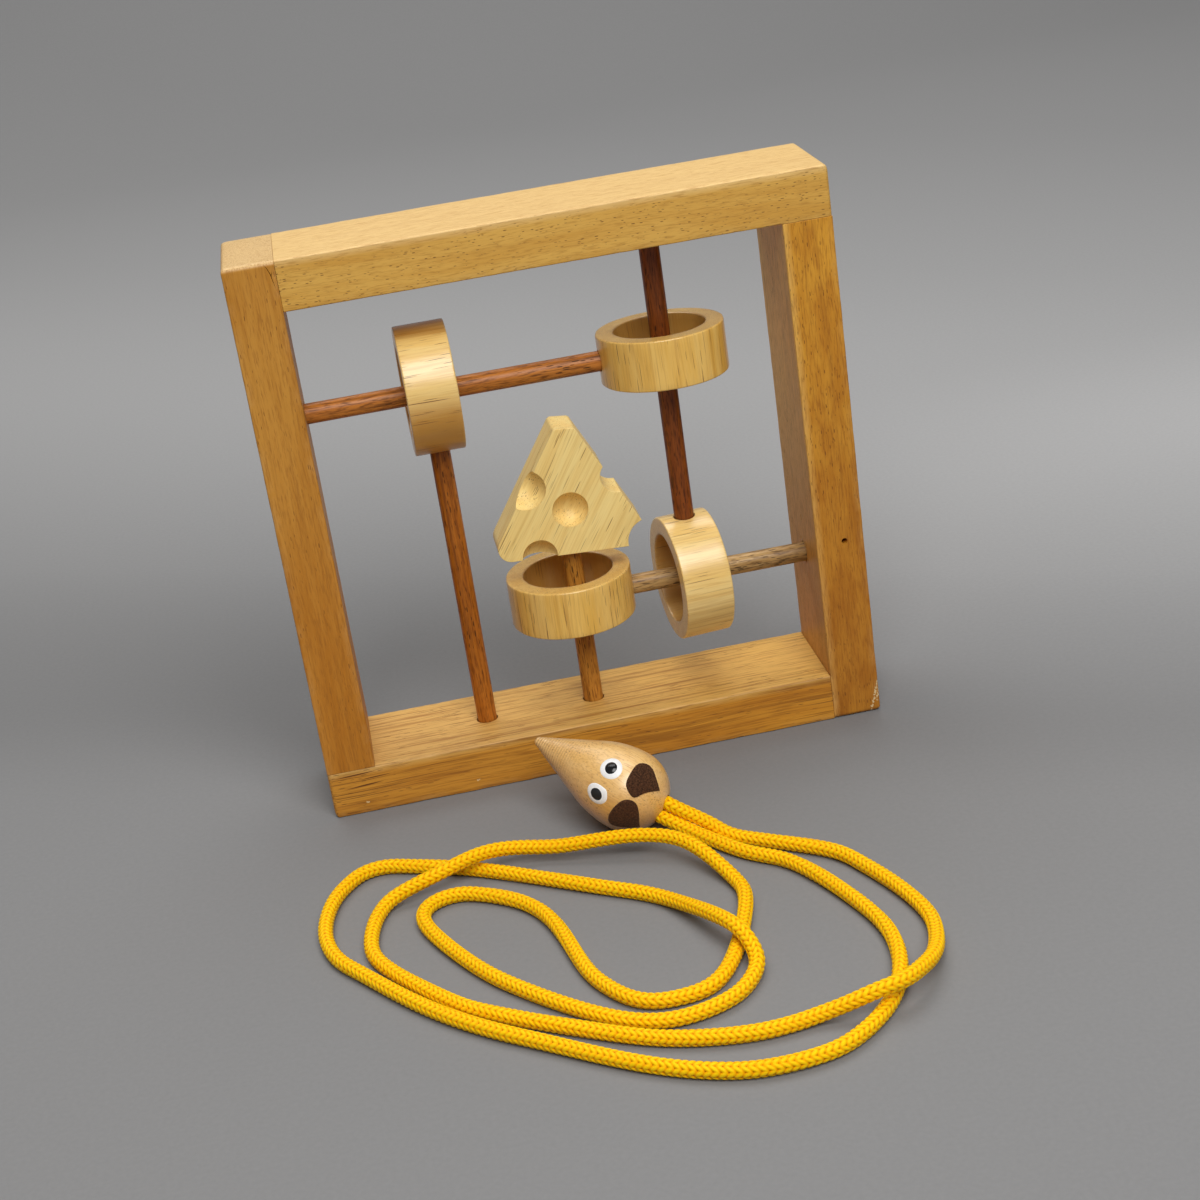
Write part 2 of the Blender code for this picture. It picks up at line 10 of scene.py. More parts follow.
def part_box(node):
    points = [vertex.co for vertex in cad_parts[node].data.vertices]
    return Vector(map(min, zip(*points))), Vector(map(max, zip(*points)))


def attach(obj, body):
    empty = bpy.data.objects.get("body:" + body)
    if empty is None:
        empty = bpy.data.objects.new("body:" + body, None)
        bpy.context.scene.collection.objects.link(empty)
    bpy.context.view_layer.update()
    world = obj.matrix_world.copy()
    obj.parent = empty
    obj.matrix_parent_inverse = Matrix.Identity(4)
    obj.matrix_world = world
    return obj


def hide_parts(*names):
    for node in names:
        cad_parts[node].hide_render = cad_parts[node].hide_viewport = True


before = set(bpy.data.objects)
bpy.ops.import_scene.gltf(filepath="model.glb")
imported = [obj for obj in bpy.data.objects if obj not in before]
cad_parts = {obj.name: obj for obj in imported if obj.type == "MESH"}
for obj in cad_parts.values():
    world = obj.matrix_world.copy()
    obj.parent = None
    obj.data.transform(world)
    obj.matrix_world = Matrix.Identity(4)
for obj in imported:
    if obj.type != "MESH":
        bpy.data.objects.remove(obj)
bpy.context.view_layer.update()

# Sizes are in mm, unless a comment says otherwise
MM = 0.001
WELD = 0.0005
# How far a cutter runs past the surface that it opens, or past the end of what sits in its hole
HOLE_OVERSHOOT = 0.3

# Camera, solved from the photograph: the frame stands upright and the camera is rolled instead
CAMERA_PLACE = (-46.92, -489.54, 244.66)
CAMERA_RIGHT = (0.9773, -0.1612, -0.1375)
CAMERA_UP = (0.1885, 0.3649, 0.9118)
CAMERA_BACK = (-0.0968, -0.9170, 0.3870)
CAMERA_LENS = 63.82
SENSOR = 36

# Bars: which way the outer side faces, and which way the bar runs from its butted end to its free end
BARS = {
    "top_rail": ((0, 0, 1), (1, 0, 0)),
    "right_stile": ((1, 0, 0), (0, 0, -1)),
    "bottom_rail": ((0, 0, -1), (-1, 0, 0)),
    "left_stile": ((-1, 0, 0), (0, 0, 1)),
}
BAR_EDGE = 0.38
BAR_END_EDGE = 1.1
BAR_SQUARE_EDGE = 0.1
# How far a butted end closes the gap that the CAD leaves at a joint
JOINT_CLOSED = 0.26
# How deep the worn edges go
BAR_WEAR_DEPTH = 0.16
# The frame's front, and points (x, z) of a split in it
FRONT = -15
SPLIT = ((-60.4, 139.6), (-59.8, 138.7), (-59.2, 137), (-58.9, 135.2), (-58.5, 133.2))
SPLIT_BRANCH = ((-58.6, 138), (-59, 137), (-59.1, 136))
# Marks on the front: their tone, and whether they are ragged
CHIP = ((0.76, 0.56, 0.29), True)
STREAK = ((0.15, 0.05, 0.01), False)

# Rings, as in the CAD, and how far two of them are turned on their posts
RING_DIAMETER = 31.2
RING_BORE = 22.4
RING_LENGTH = 12.2
RING_EDGE = 0.4
RING_SIDES = 160
RING_TURNS = {"upper_right_ring": math.radians(-2), "lower_right_ring": math.radians(5.6)}

# Posts: the pale, middle and dark tone of each
POST_TONES = {
    "left_post": ((0.58, 0.21, 0.034), (0.43, 0.14, 0.019), (0.18, 0.055, 0.009)),
    "low_post": ((0.5, 0.165, 0.018), (0.39, 0.115, 0.01), (0.22, 0.06, 0.006)),
    "top_post": ((0.28, 0.075, 0.012), (0.2, 0.048, 0.007), (0.09, 0.022, 0.004)),
    "right_post": ((0.53, 0.33, 0.125), (0.33, 0.18, 0.055), (0.09, 0.04, 0.012)),
    "cheese_post": ((0.56, 0.24, 0.035), (0.44, 0.175, 0.021), (0.26, 0.09, 0.012)),
}
POST_SIDES = 56
POST_PLAY = 0.25
# How a post's ends are eased: distance from the end, and how much thinner it is there
POST_EASE = ((0, 0.3), (0.15, 0.1), (0.3, 0))

# Cheese, in mm from the foot of its post, as in the CAD
CHEESE_CORNERS = (
    (-20.8, 2.0, 3.4), (21.2, -0.3, 1.0), (4.8, 32.7, 1.2), (-0.2, 33.3, 1.2),
)
CHEESE_NOTCHES = ((19.6, 0.8, 5.7), (13.6, 18.9, 4.3))
CHEESE_DIMPLES = ((0.9, 12.4, 4.45), (-9.2, 19.3, 5.0), (-8.1, 1.7, 4.35))
CHEESE_PLACE = (-0.6, 52.9)
CHEESE_EDGE = 0.75
CHEESE_GRAIN = (20.6, 0, 31.3)

# Mouse, as in the CAD
MOUSE_RADIUS = 9.85
MOUSE_NOSE_LENGTH = 26.5
MOUSE_NOSE_RADIUS = 1.2
MOUSE_SHOULDER_RADIUS = 26.5
MOUSE_PLACE = (-0.5, -49, 9.85)
MOUSE_HEADING = math.radians(138.5)
MOUSE_PITCH = math.radians(21)
MOUSE_ROLL = math.radians(56)
MOUSE_SIDES = 128
TAIL_HOLE_PLAY = 0.12
# Lathe ridges, from the nose back
RIDGE_PITCH = 0.75
RIDGE_HEIGHT = 0.055
RIDGE_REACH = 14

# Face: distance along the axis from the ball's centre and turn from the middle of the back
EYES = {"right": (3.1, math.radians(22)), "left": (3.5, math.radians(-19.6))}
EYE_RADII = {"right": (2.68, 2.68), "left": (2.8, 2.4)}
EYE_HEIGHT = 0.22
EYE_SIDES = 56
DOME_STEPS = 9
PUPIL_RADII = {"right": (1.5, 1.5), "left": (1.7, 1.42)}
PUPIL_HEIGHT = {"right": 0.34, "left": 0.18}
EAR_ALONG = -4.3
EAR_TURN = math.radians(30.6)
EAR_HEIGHT = 0.5
# Each ear's outline from its sharp corner round: towards the tail, and away from the middle of the back
EARS = {
    "right": (
        (5.0, 1.2), (2.25, -2.4), (1.0, -4.3), (-1.3, -3.8), (-2.45, -2.6), (-2.95, 0.4),
        (-2.45, 3.1), (-0.2, 4.25), (2.0, 3.15),
    ),
    "left": (
        (4.2, 3.35), (2.97, -1.5), (1.6, -3.5), (-0.7, -3.6), (-2.6, -1.4), (-3.4, 1.8),
        (-2.7, 4.0), (-0.9, 4.2),
    ),
}

# Cord, as in the CAD, but with its ends closer together in the tail
CORD_DIAMETER = 3.5
CORD_IN_MOUSE = 8
CORD_ENDS = ((-0.6, 1.55), (-0.8, -1.85))
CORD_CROSSING_GAP = 0.35
# Its route: x, y and the layer, where 0 lies on the table and 1 rests on another strand
CORD_ROUTE = (
    (11.7, -57, 0.85), (16.4, -61.4, 0.38), (20.7, -66.2, 0.03), (38.5, -80, 0), (44, -88.5, 0),
    (48.5, -100, 0), (51.5, -113, 0), (51, -121, 0.05), (47.5, -131.5, 0.5), (42.5, -138.5, 0.95),
    (38, -142.3, 1.15), (33, -143.5, 1.1), (26.7, -143, 0.6), (20, -142.2, 0.1), (9, -143, 0),
    (-8.5, -139, 0), (-22, -131.5, 0), (-43, -116.5, 0), (-50, -109.5, 0), (-57, -100, 0),
    (-62.5, -91, 0), (-65, -82, 0), (-62, -67.5, 0), (-57.5, -63.5, 0.3), (-47, -62, 1.0),
    (-36, -57.7, 1.1), (-26, -56, 0.6), (-19, -58, 0.55), (-5.5, -62.5, 1.0), (6, -68, 1.05),
    (12, -76, 0.7), (16.3, -85, 0.05), (17, -91, 0), (14, -103, 0), (4, -122.5, 0), (-4, -125.5, 0),
    (-9.5, -125, 0), (-14, -122, 0), (-18, -116, 0), (-21, -108, 0), (-24.5, -89, 0), (-30.5, -76, 0),
    (-40, -68.3, 0), (-45, -66.8, 0), (-50, -68.4, 0), (-52.7, -73, 0), (-51, -82, 0), (-43, -99, 0),
    (-35.5, -110, 0), (-21, -125.7, 0), (-7.5, -132.6, 0), (4.5, -130, 0), (9.5, -126, 0),
    (12.7, -121, 0.1), (13.4, -117.5, 0.4), (12.5, -113.5, 0.9), (10, -108, 1.15), (2.5, -91, 0.25),
    (-3, -83.5, 0), (-13, -76, 0), (-29, -64, 0), (-42.5, -55, 0), (-54, -49.3, 0), (-60, -47.3, 0),
    (-65, -48.5, 0), (-68.5, -52, 0), (-72, -58, 0), (-74.8, -72, 0), (-72.5, -84, 0), (-68, -91.5, 0),
    (-56, -109, 0), (-43, -123, 0), (-33.5, -131, 0), (-16, -145, 0), (-2, -152.7, 0), (7.5, -155, 0),
    (18.5, -154.3, 0), (26, -151, 0), (36.5, -140, 0), (42, -121, 0), (39.5, -105, 0), (33.5, -89, 0),
    (28, -80, 0), (21.5, -74, 0), (13.3, -62.6, 0), (9.6, -58.2, 0.25),
)
# Its knitted cover: columns of V stitches round it, a stitch's length and depth, length of a twist
BRAID_COLUMNS = 4
STITCH = 1.5
STITCH_DEPTH = 0.45
COLUMN_TWIST = 210

# Wood: how far the grain and the edges of dark bands wander, how pores grow and end, the cells of drawn
# lines, bare wood
GRAIN_WANDER = 3.2
BAND_WANDER = 4
PORE_ONSET = 30
PORE_SLOPE = 20
LINE_GAP = 0.5
LINE_SHARE = 0.9
LINE_SIZE = 0.26
BARE_WOOD = (0.95, 0.8, 0.5)

# Stage, in metres. The grey all round, and from where to where the floor fades into it
BACKGROUND = (0.25, 0.25, 0.25)
FLOOR_FADE = (0.68, 1.15)
# How far the floor runs, how far under the object it lies, and how it sweeps up behind
FLOOR_REACH = 6
FLOOR_DROP = 5e-5
SWEEP_START = 0.9
SWEEP_RADIUS = 0.8
SWEEP_TOP = 1.8
# The floor's painted bands of light and shade: its tone by the direction from a point beside it, in degrees,
# from the front to the back
FLOOR_PIVOT = (1.692, -0.776, 0)
FLOOR_LIGHT_BANDS = ((19, 0.222), (23.6, 0.226), (25.3, 0.197), (28, 0.262), (32.5, 0.36), (38, 0.34), (46, 0.3))
# Lamps: the way to each from its target, its distance, size and power
LAMPS = {"overhead": ((-0.03, 0.4, 0.916), 1.6, 1.5, 16.5), "front": ((0.08, -0.64, 0.764), 1.3, 1.0, 15.4)}
LAMP_TARGET = (0, -0.04, 0.05)
WORLD_STRENGTH = 0.12


# Shader nodes

def fill(made, inputs):
    """Link each input of a node to a socket, or set it to a value."""
    for key, value in inputs.items():
        if isinstance(value, bpy.types.NodeSocket):
            made.id_data.links.new(value, made.inputs[key])
        else:
            made.inputs[key].default_value = value


def node(kind, inputs=None, tree=None, **settings):
    """A shader node, in the tree of the sockets that feed it unless a tree is given."""
    inputs = inputs or {}
    trees = [value.id_data for value in inputs.values() if isinstance(value, bpy.types.NodeSocket)]
    made = (tree or trees[0]).nodes.new("ShaderNode" + kind)
    for key, value in settings.items():
        setattr(made, key, value)
    fill(made, inputs)
    return made


def calc(operation, a, b=0.0, clamp=False):
    return node("Math", {0: a, 1: b}, operation=operation, use_clamp=clamp).outputs[0]


def times(a, b, clamp=False):
    return calc("MULTIPLY", a, b, clamp)


def minus(a, b):
    return calc("SUBTRACT", a, b)


def vector_calc(operation, a, b):
    return node("VectorMath", {0: a, 1: b}, operation=operation).outputs["Vector"]


def remap(value, low, high, to_low=0.0, to_high=1.0):
    inputs = {"Value": value, "From Min": low, "From Max": high, "To Min": to_low, "To Max": to_high}
    return node("MapRange", inputs, interpolation_type="SMOOTHSTEP").outputs["Result"]


def mix(factor, a, b, blend="MIX"):
    colours = {6: a if isinstance(a, bpy.types.NodeSocket) else (*a, 1),
               7: b if isinstance(b, bpy.types.NodeSocket) else (*b, 1)}
    return node("Mix", {0: factor, **colours}, data_type="RGBA", blend_type=blend).outputs[2]


def noise_at(place, scale, detail=2.0, roughness=0.5):
    spread = vector_calc("MULTIPLY", place, scale)
    inputs = {"Vector": spread, "Scale": 1.0, "Detail": detail, "Roughness": roughness}
    return node("TexNoise", inputs).outputs["Fac"]


def grain_noise(place, across, along, detail=2.0, roughness=0.5):
    """Noise drawn out along the grain."""
    return noise_at(place, (across, across, along), detail, roughness)


def new_material(name):
    made = bpy.data.materials.new(name)
    made.use_nodes = True
    tree = made.node_tree
    return made, tree, tree.nodes["Principled BSDF"]


def attribute(tree, name, output="Vector"):
    return node("Attribute", tree=tree, attribute_name=name).outputs[output]


def bumped(strength, depth, height):
    """A surface direction with fine relief, its depth in mm."""
    inputs = {"Strength": strength, "Distance": depth * MM, "Height": height}
    return node("Bump", inputs).outputs[0]


def pores(place, gap, length, share, size):
    """Short dark vessels that run with the grain, some cells without one."""
    spread = vector_calc("MULTIPLY", place, (1 / gap, 1 / gap, 1 / length))
    cells = node("TexVoronoi", {"Vector": spread, "Scale": 1.0})
    chance = node("SeparateColor", {0: cells.outputs["Color"]}).outputs[0]
    rank = calc("DIVIDE", minus(chance, 1 - share), share)
    swell = calc("ADD", times(rank, 0.5), 0.5)
    grown = calc("MINIMUM", times(rank, PORE_ONSET), swell)
    depth = minus(times(grown, size), cells.outputs["Distance"])
    return times(depth, PORE_SLOPE, clamp=True)


def wood(name, pale, mid, dark, pore, *, figure=(0.24, 0.02), streaks=0.3, fibre=0.25, fibre_scale=(3, 0.28),
         pore_gap=0.5, pore_length=2.0, pore_share=0.4, pore_size=0.32, pore_depth=0.8, gloss=0.45, coat=0.0,
         shine=0.32, line_length=30, line_depth=0.0, inner=None, painted_light_and_shade_share=0.8, inner_calm=0.0, dark_and_shadow_bands=(),
         change=None, painted_top_sheen=None, marks=()):
    """Oiled wood. Its grain runs along z of the "grain" attribute, which is in mm.

    The bands argument gives dark bands across the grain: partly dark heartwood, partly painted shade and a
    painted shadow. change is how the tone drifts from one end of the part to the other; on the stiles it is
    painted light, brighter towards the top. The top sheen argument paints the upper side of a turned piece
    paler and whiter, a painted sheen from the light above. inner is a tone painted on part of the surface:
    paler where it stands in for sheen and light, darker in bores and grooves where it stands in for shade.
    marks are chips and streaks on the front.
    """
    made, tree, shader = new_material(name)
    grain = attribute(tree, "grain")
    drift = minus(grain_noise(grain, 0.045, 0.018, 1.0), 0.5)
    bend = node("CombineXYZ", {0: times(drift, GRAIN_WANDER)}).outputs[0]
    place = vector_calc("ADD", grain, bend)

    broad = grain_noise(place, *figure, 3.0, 0.55)
    colour = mix(remap(broad, 0.34, 0.66), mid, pale)
    # A tone painted on part of the surface: paler faces for sheen and light on the bars, darker bores and
    # grooves for shade
    if inner:
        share = times(attribute(tree, "inner", "Fac"), painted_light_and_shade_share)
        colour = mix(share, colour, inner)
    part_place = vector_calc("MULTIPLY", node("TexCoord", tree=tree).outputs["Object"], (1 / MM,) * 3)
    if change:
        axis, start, end, start_tone, end_tone = change
        reach = node("SeparateXYZ", {0: part_place}).outputs[axis]
        tone = mix(remap(reach, start, end), start_tone, end_tone)
        colour = mix(1.0, colour, tone, "MULTIPLY")
    # Paints the upper side of a turned piece paler and whiter, a painted sheen from the light above
    if painted_top_sheen:
        tone = mix(attribute(tree, "painted_top_sheen", "Fac"), *painted_top_sheen)
        colour = mix(1.0, colour, tone, "MULTIPLY")
    streak = grain_noise(place, 0.8, 0.014, 3.0, 0.6)
    # Dark bands across the grain: partly dark heartwood, partly painted shade, and a painted shadow
    for start, end in dark_and_shadow_bands:
        across = node("SeparateXYZ", {0: place}).outputs[0]
        across = calc("ADD", across, times(streak, BAND_WANDER))
        middle = BAND_WANDER / 2
        colour = mix(remap(across, start + middle, end + middle), colour, dark)
    colour = mix(remap(streak, 0.5, 0.72, 0.0, streaks), colour, dark)
    lines = grain_noise(place, *fibre_scale, 2.0, 0.6)
    colour = mix(remap(lines, 0.54, 0.3, 0.0, fibre * 2), colour, dark)
    colour = mix(remap(lines, 0.55, 0.75, 0.0, fibre), colour, pale)

    crowding = remap(grain_noise(place, 0.13, 0.03, 1.0), 0.36, 0.6, 0.3, 1.0)
    if inner_calm:
        calm = times(attribute(tree, "inner", "Fac"), inner_calm)
        crowding = times(crowding, minus(1.0, calm))
    dots = pores(place, pore_gap, pore_length, pore_share, pore_size)
    drawn = pores(place, LINE_GAP, line_length, LINE_SHARE, LINE_SIZE)
    drawn = times(drawn, line_depth)
    dots = calc("MAXIMUM", times(dots, pore_depth), drawn)
    dots = times(dots, crowding)
    colour = mix(dots, colour, pore)

    # This pales worn edges and rims towards bare wood, and on the mouse it paints a highlight on the lathe
    # ridges
    wear_and_crest_highlight = times(attribute(tree, "wear_and_crest_highlight", "Fac"), remap(lines, 0.35, 0.6, 0.35, 1.0))
    raw = tuple(0.3 * p + 0.7 * c for p, c in zip(BARE_WOOD, pale))
    colour = mix(times(wear_and_crest_highlight, 0.4), colour, raw)
    bare = times(wear_and_crest_highlight, 0.3)
    for x, z, end_x, end_z, width, (tone, ragged) in marks:
        mark = near_line(part_place, (x, FRONT, z), (end_x, FRONT, end_z), width, ragged)
        colour = mix(mark, colour, tone)
        bare = calc("MAXIMUM", bare, mark)

    rough = remap(lines, 0.3, 0.7, gloss + 0.05, gloss - 0.05)
    rough = calc("ADD", rough, times(calc("MAXIMUM", dots, bare), 0.25))
    height = minus(times(lines, 0.35), dots)
    fill(shader, {
        "Base Color": colour, "Roughness": rough, "Normal": bumped(0.55, 0.09, height),
        "Specular IOR Level": shine, "Coat Weight": coat, "Coat Roughness": 0.28,
    })
    return made


def near_line(place, start, end, width, ragged):
    """Near 1 on a mark between two points, in mm: a ragged chip, or a streak that thins at its ends."""
    along = Vector(end) - Vector(start)
    rel = vector_calc("SUBTRACT", place, start)
    reach = node("VectorMath", {0: rel, 1: along / along.length_squared}, operation="DOT_PRODUCT")
    reach = calc("ADD", reach.outputs["Value"], 0.0, clamp=True)
    foot = node("VectorMath", {0: tuple(along), "Scale": reach}, operation="SCALE").outputs["Vector"]
    away = node("VectorMath", {0: vector_calc("SUBTRACT", rel, foot)}, operation="LENGTH")
    if ragged:
        torn = noise_at(place, (1.6, 1.6, 1.6), 3.0, 0.7)
        limit = times(remap(torn, 0.4, 0.66, 0.0, 1.7), width)
    else:
        limit = times(calc("SINE", times(reach, math.pi)), width)
    return times(minus(limit, away.outputs["Value"]), 4 / width, clamp=True)


def cord_material():
    """Knitted polyester with fine filaments: a painted highlight makes the crown of a stitch bright, painted
    shade makes it orange between stitches.
    """
    made, tree, shader = new_material("knitted_yellow_cord")
    relief = attribute(tree, "relief", "Fac")
    braid = attribute(tree, "braid")
    hairs = noise_at(braid, (2.6, 11, 1), 2.0, 0.6)
    # relief paints shade between the stitches and a highlight on their crowns
    tone = calc("ADD", relief, times(minus(hairs, 0.5), 0.35))
    colour = mix(remap(tone, 0.05, 0.6), (0.35, 0.066, 0.0004), (0.91, 0.385, 0.0008))
    colour = mix(remap(tone, 0.55, 1.0), colour, (1.0, 0.63, 0.005))
    wide = noise_at(braid, (0.05, 0.2, 1), 2.0)
    colour = mix(remap(wide, 0.4, 0.75, 0.0, 0.25), colour, (0.93, 0.42, 0.002))
    fill(shader, {
        "Base Color": colour, "Roughness": remap(hairs, 0.3, 0.7, 0.42, 0.62),
        "Normal": bumped(0.5, 0.05, hairs),
        "Specular IOR Level": 0.3, "Specular Tint": (1, 0.7, 0.12, 1),
        "Sheen Weight": 0.15, "Sheen Roughness": 0.4, "Sheen Tint": (1, 0.62, 0.03, 1),
        "Subsurface Weight": 0.12, "Subsurface Radius": (1, 0.4, 0.05), "Subsurface Scale": 0.6 * MM,
    })
    return made


def felt_material():
    """Dark brown suede-like felt, matt, with short pale fibres."""
    made, tree, shader = new_material("dark_brown_felt")
    place = attribute(tree, "grain")
    nap = noise_at(place, (2.6, 2.6, 2.6), 3.0, 0.75)
    cloud = noise_at(place, (0.7, 0.7, 0.7), 2.0)
    colour = mix(remap(nap, 0.36, 0.68), (0.018, 0.006, 0.002), (0.1, 0.038, 0.0135))
    colour = mix(remap(cloud, 0.4, 0.7, 0.0, 0.5), colour, (0.046, 0.0155, 0.006))
    fill(shader, {
        "Base Color": colour, "Roughness": remap(nap, 0.3, 0.7, 0.95, 0.8),
        "Normal": bumped(0.7, 0.12, nap), "Specular IOR Level": 0.2,
        "Sheen Weight": 0.2, "Sheen Roughness": 0.6, "Sheen Tint": (0.7, 0.42, 0.25, 1),
    })
    return made


def paint_material(name, colour, shade, gloss):
    """Thick brushed paint with a slightly uneven skin."""
    made, tree, shader = new_material(name)
    cloud = noise_at(attribute(tree, "grain"), (0.9, 0.9, 0.9), 3.0, 0.6)
    fill(shader, {
        "Base Color": mix(remap(cloud, 0.35, 0.7), colour, shade),
        "Roughness": remap(cloud, 0.3, 0.7, gloss, gloss + 0.12),
        "Normal": bumped(0.35, 0.1, cloud),
    })
    return made


def pin_material():
    """Bare pale dowel wood for the hidden pins, by place in the part."""
    made, tree, shader = new_material("bare_pin_wood")
    lines = noise_at(node("TexCoord", tree=tree).outputs["Object"], (900, 900, 900), 3.0, 0.6)
    fill(shader, {
        "Base Color": mix(lines, (0.48, 0.3, 0.13), (0.62, 0.42, 0.2)),
        "Roughness": remap(lines, 0.3, 0.7, 0.55, 0.7),
    })
    return made


# Shapes

def clean(mesh):
    """Weld points that fall together and turn all faces outward."""
    form = bmesh.new()
    form.from_mesh(mesh)
    bmesh.ops.remove_doubles(form, verts=form.verts, dist=WELD * MM)
    bmesh.ops.recalc_face_normals(form, faces=form.faces)
    form.to_mesh(mesh)
    form.free()
    return mesh


def skin(name, rows, closed=False, weld=True):
    """A mesh over rows of points, in mm. Each row is a loop; closed joins the last row to the first."""
    count, around = rows.shape[:2]
    index = np.arange(count * around).reshape(count, around)
    ends = [] if closed else [index[0, ::-1].tolist(), index[-1].tolist()]
    if closed:
        index = np.vstack((index, index[:1]))
    here, there = index[:-1], index[1:]
    quads = np.stack((here, np.roll(here, -1, 1), np.roll(there, -1, 1), there), axis=-1)
    mesh = bpy.data.meshes.new(name)
    mesh.from_pydata(rows.reshape(-1, 3) * MM, [], quads.reshape(-1, 4).tolist() + ends)
    return clean(mesh) if weld else mesh


def points_of(mesh):
    flat = np.empty(len(mesh.vertices) * 3, np.float32)
    mesh.vertices.foreach_get("co", flat)
    return flat.reshape(-1, 3).astype(float) / MM


def unit(ways):
    return ways / np.linalg.norm(ways, axis=-1, keepdims=True)


def moved(mesh, place):
    mesh.transform(place)
    return mesh


def add_object(name, data):
    made = bpy.data.objects.new(name, data)
    bpy.context.scene.collection.objects.link(made)
    return made


def carve(mesh, cutters, bevel=None):
    """Cut meshes out of a mesh, and ease the edges in between if a width is given."""
    part = add_object(mesh.name, mesh)
    tools = [add_object(cutter.name, cutter) for cutter in cutters]
    for tool in tools:
        boolean = part.modifiers.new(tool.name, "BOOLEAN")
        boolean.solver = "EXACT"
        boolean.object = tool
    if bevel:
        eased = part.modifiers.new("eased", "BEVEL")
        eased.width = bevel * MM
        eased.segments = 5
        eased.limit_method = "ANGLE"
        eased.angle_limit = math.radians(50)
    bpy.context.view_layer.update()
    made = bpy.data.meshes.new_from_object(part.evaluated_get(bpy.context.evaluated_depsgraph_get()))
    made.name = mesh.name
    for one in (part, *tools):
        bpy.data.objects.remove(one)
    return clean(made)


def set_values(mesh, name, kind, values):
    target = mesh.attributes.get(name) or mesh.attributes.new(name, kind, "POINT")
    field = "vector" if kind == "FLOAT_VECTOR" else "value"
    target.data.foreach_set(field, np.ravel(values).astype(np.float32))


def set_grain(mesh, along, origin, shift):
    """Give each point its place in the wood, in mm, with z along the grain; shift picks a stretch of wood."""
    along = Vector(along).normalized()
    side = along.cross(Vector((0, 1, 0)))
    side = (side if side.length > 0.1 else Vector((1, 0, 0))).normalized()
    turn = np.array((side, along.cross(side), along))
    set_values(mesh, "grain", "FLOAT_VECTOR", (points_of(mesh) - np.array(origin)) @ turn.T + np.array(shift))


def add_piece(name, mesh, material, body, nodes, sharp=35):
    mesh.materials.clear()
    mesh.materials.append(material)
    mesh.shade_smooth()
    mesh.set_sharp_from_angle(angle=math.radians(sharp))
    made = add_object(name, mesh)
    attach(made, body)
    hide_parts(*nodes)
    return made


def arc(x, y, radius, start, end, steps):
    angles = np.linspace(start, end, steps + 1)
    return np.stack((x + radius * np.cos(angles), y + radius * np.sin(angles)), axis=1)


def turned(name, profile, sides, place, closed=False, ripple=None):
    """Turn (radius, height) points about z. ripple(angles, profile) gives what is added to the radius."""
    profile = np.array(profile, float)
    angles = np.linspace(0, 2 * math.pi, sides, endpoint=False)
    radius = np.broadcast_to(profile[:, 0], (sides, len(profile))).copy()
    if ripple:
        radius += ripple(angles[:, None], profile[None])
    rows = np.stack((radius * np.cos(angles)[:, None], radius * np.sin(angles)[:, None],
                     np.broadcast_to(profile[:, 1], radius.shape)), axis=-1)
    if closed:
        return moved(skin(name, rows, closed=True), place)
    return moved(skin(name, rows.transpose(1, 0, 2)), place)


def worn_round(angles, points, radius, height_scale, shift):
    """Noise round a turned piece, at each angle and each point of its profile."""
    return np.array([
        [noise.noise(Vector((radius * math.cos(a), radius * math.sin(a), z * height_scale + shift)))
         for z in points[0, :, 1]]
        for a in angles[:, 0]
    ])


def box_mm(node_name):
    low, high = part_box(node_name)
    return np.array(low) / MM, np.array(high) / MM


def rod_line(node_name):
    """The two ends of a straight round CAD node, and its radius."""
    low, high = box_mm(node_name)
    middle, size = (low + high) / 2, high - low
    axis = np.zeros(3)
    axis[size.argmax()] = size.max() / 2
    return middle - axis, middle + axis, np.sort(size)[0] / 2


def along_z(start, end):
    """A place at the first point, with z towards the second."""
    turn = Vector(end - start).to_track_quat("Z", "Y").to_matrix().to_4x4()
    return Matrix.Translation(Vector(start) * MM) @ turn


def plain_rod(name, start, end, radius, sides=48):
    length = np.linalg.norm(np.array(end) - np.array(start))
    return turned(name, [(0, 0), (radius, 0), (radius, length), (0, length)], sides,
                  along_z(np.array(start, float), np.array(end, float)))


def post_holes(*posts):
    """Cutters for the blind holes that posts sit in, a little wider than the posts."""
    holes = []
    for post in posts:
        start, end, radius = rod_line(post)
        past = unit(end - start) * HOLE_OVERSHOOT
        holes.append(plain_rod(f"hole_{post}", start - past, end + past, radius + POST_PLAY))
    return holes


def ball(name, place, radii):
    """A smooth ellipsoid cutter."""
    mesh = bpy.data.meshes.new(name)
    form = bmesh.new()
    bmesh.ops.create_uvsphere(form, u_segments=64, v_segments=32, radius=1)
    form.to_mesh(mesh)
    form.free()
    scale = Matrix.Diagonal((*[r * MM for r in radii], 1))
    return moved(mesh, Matrix.Translation(Vector(place) * MM) @ scale)


# Frame

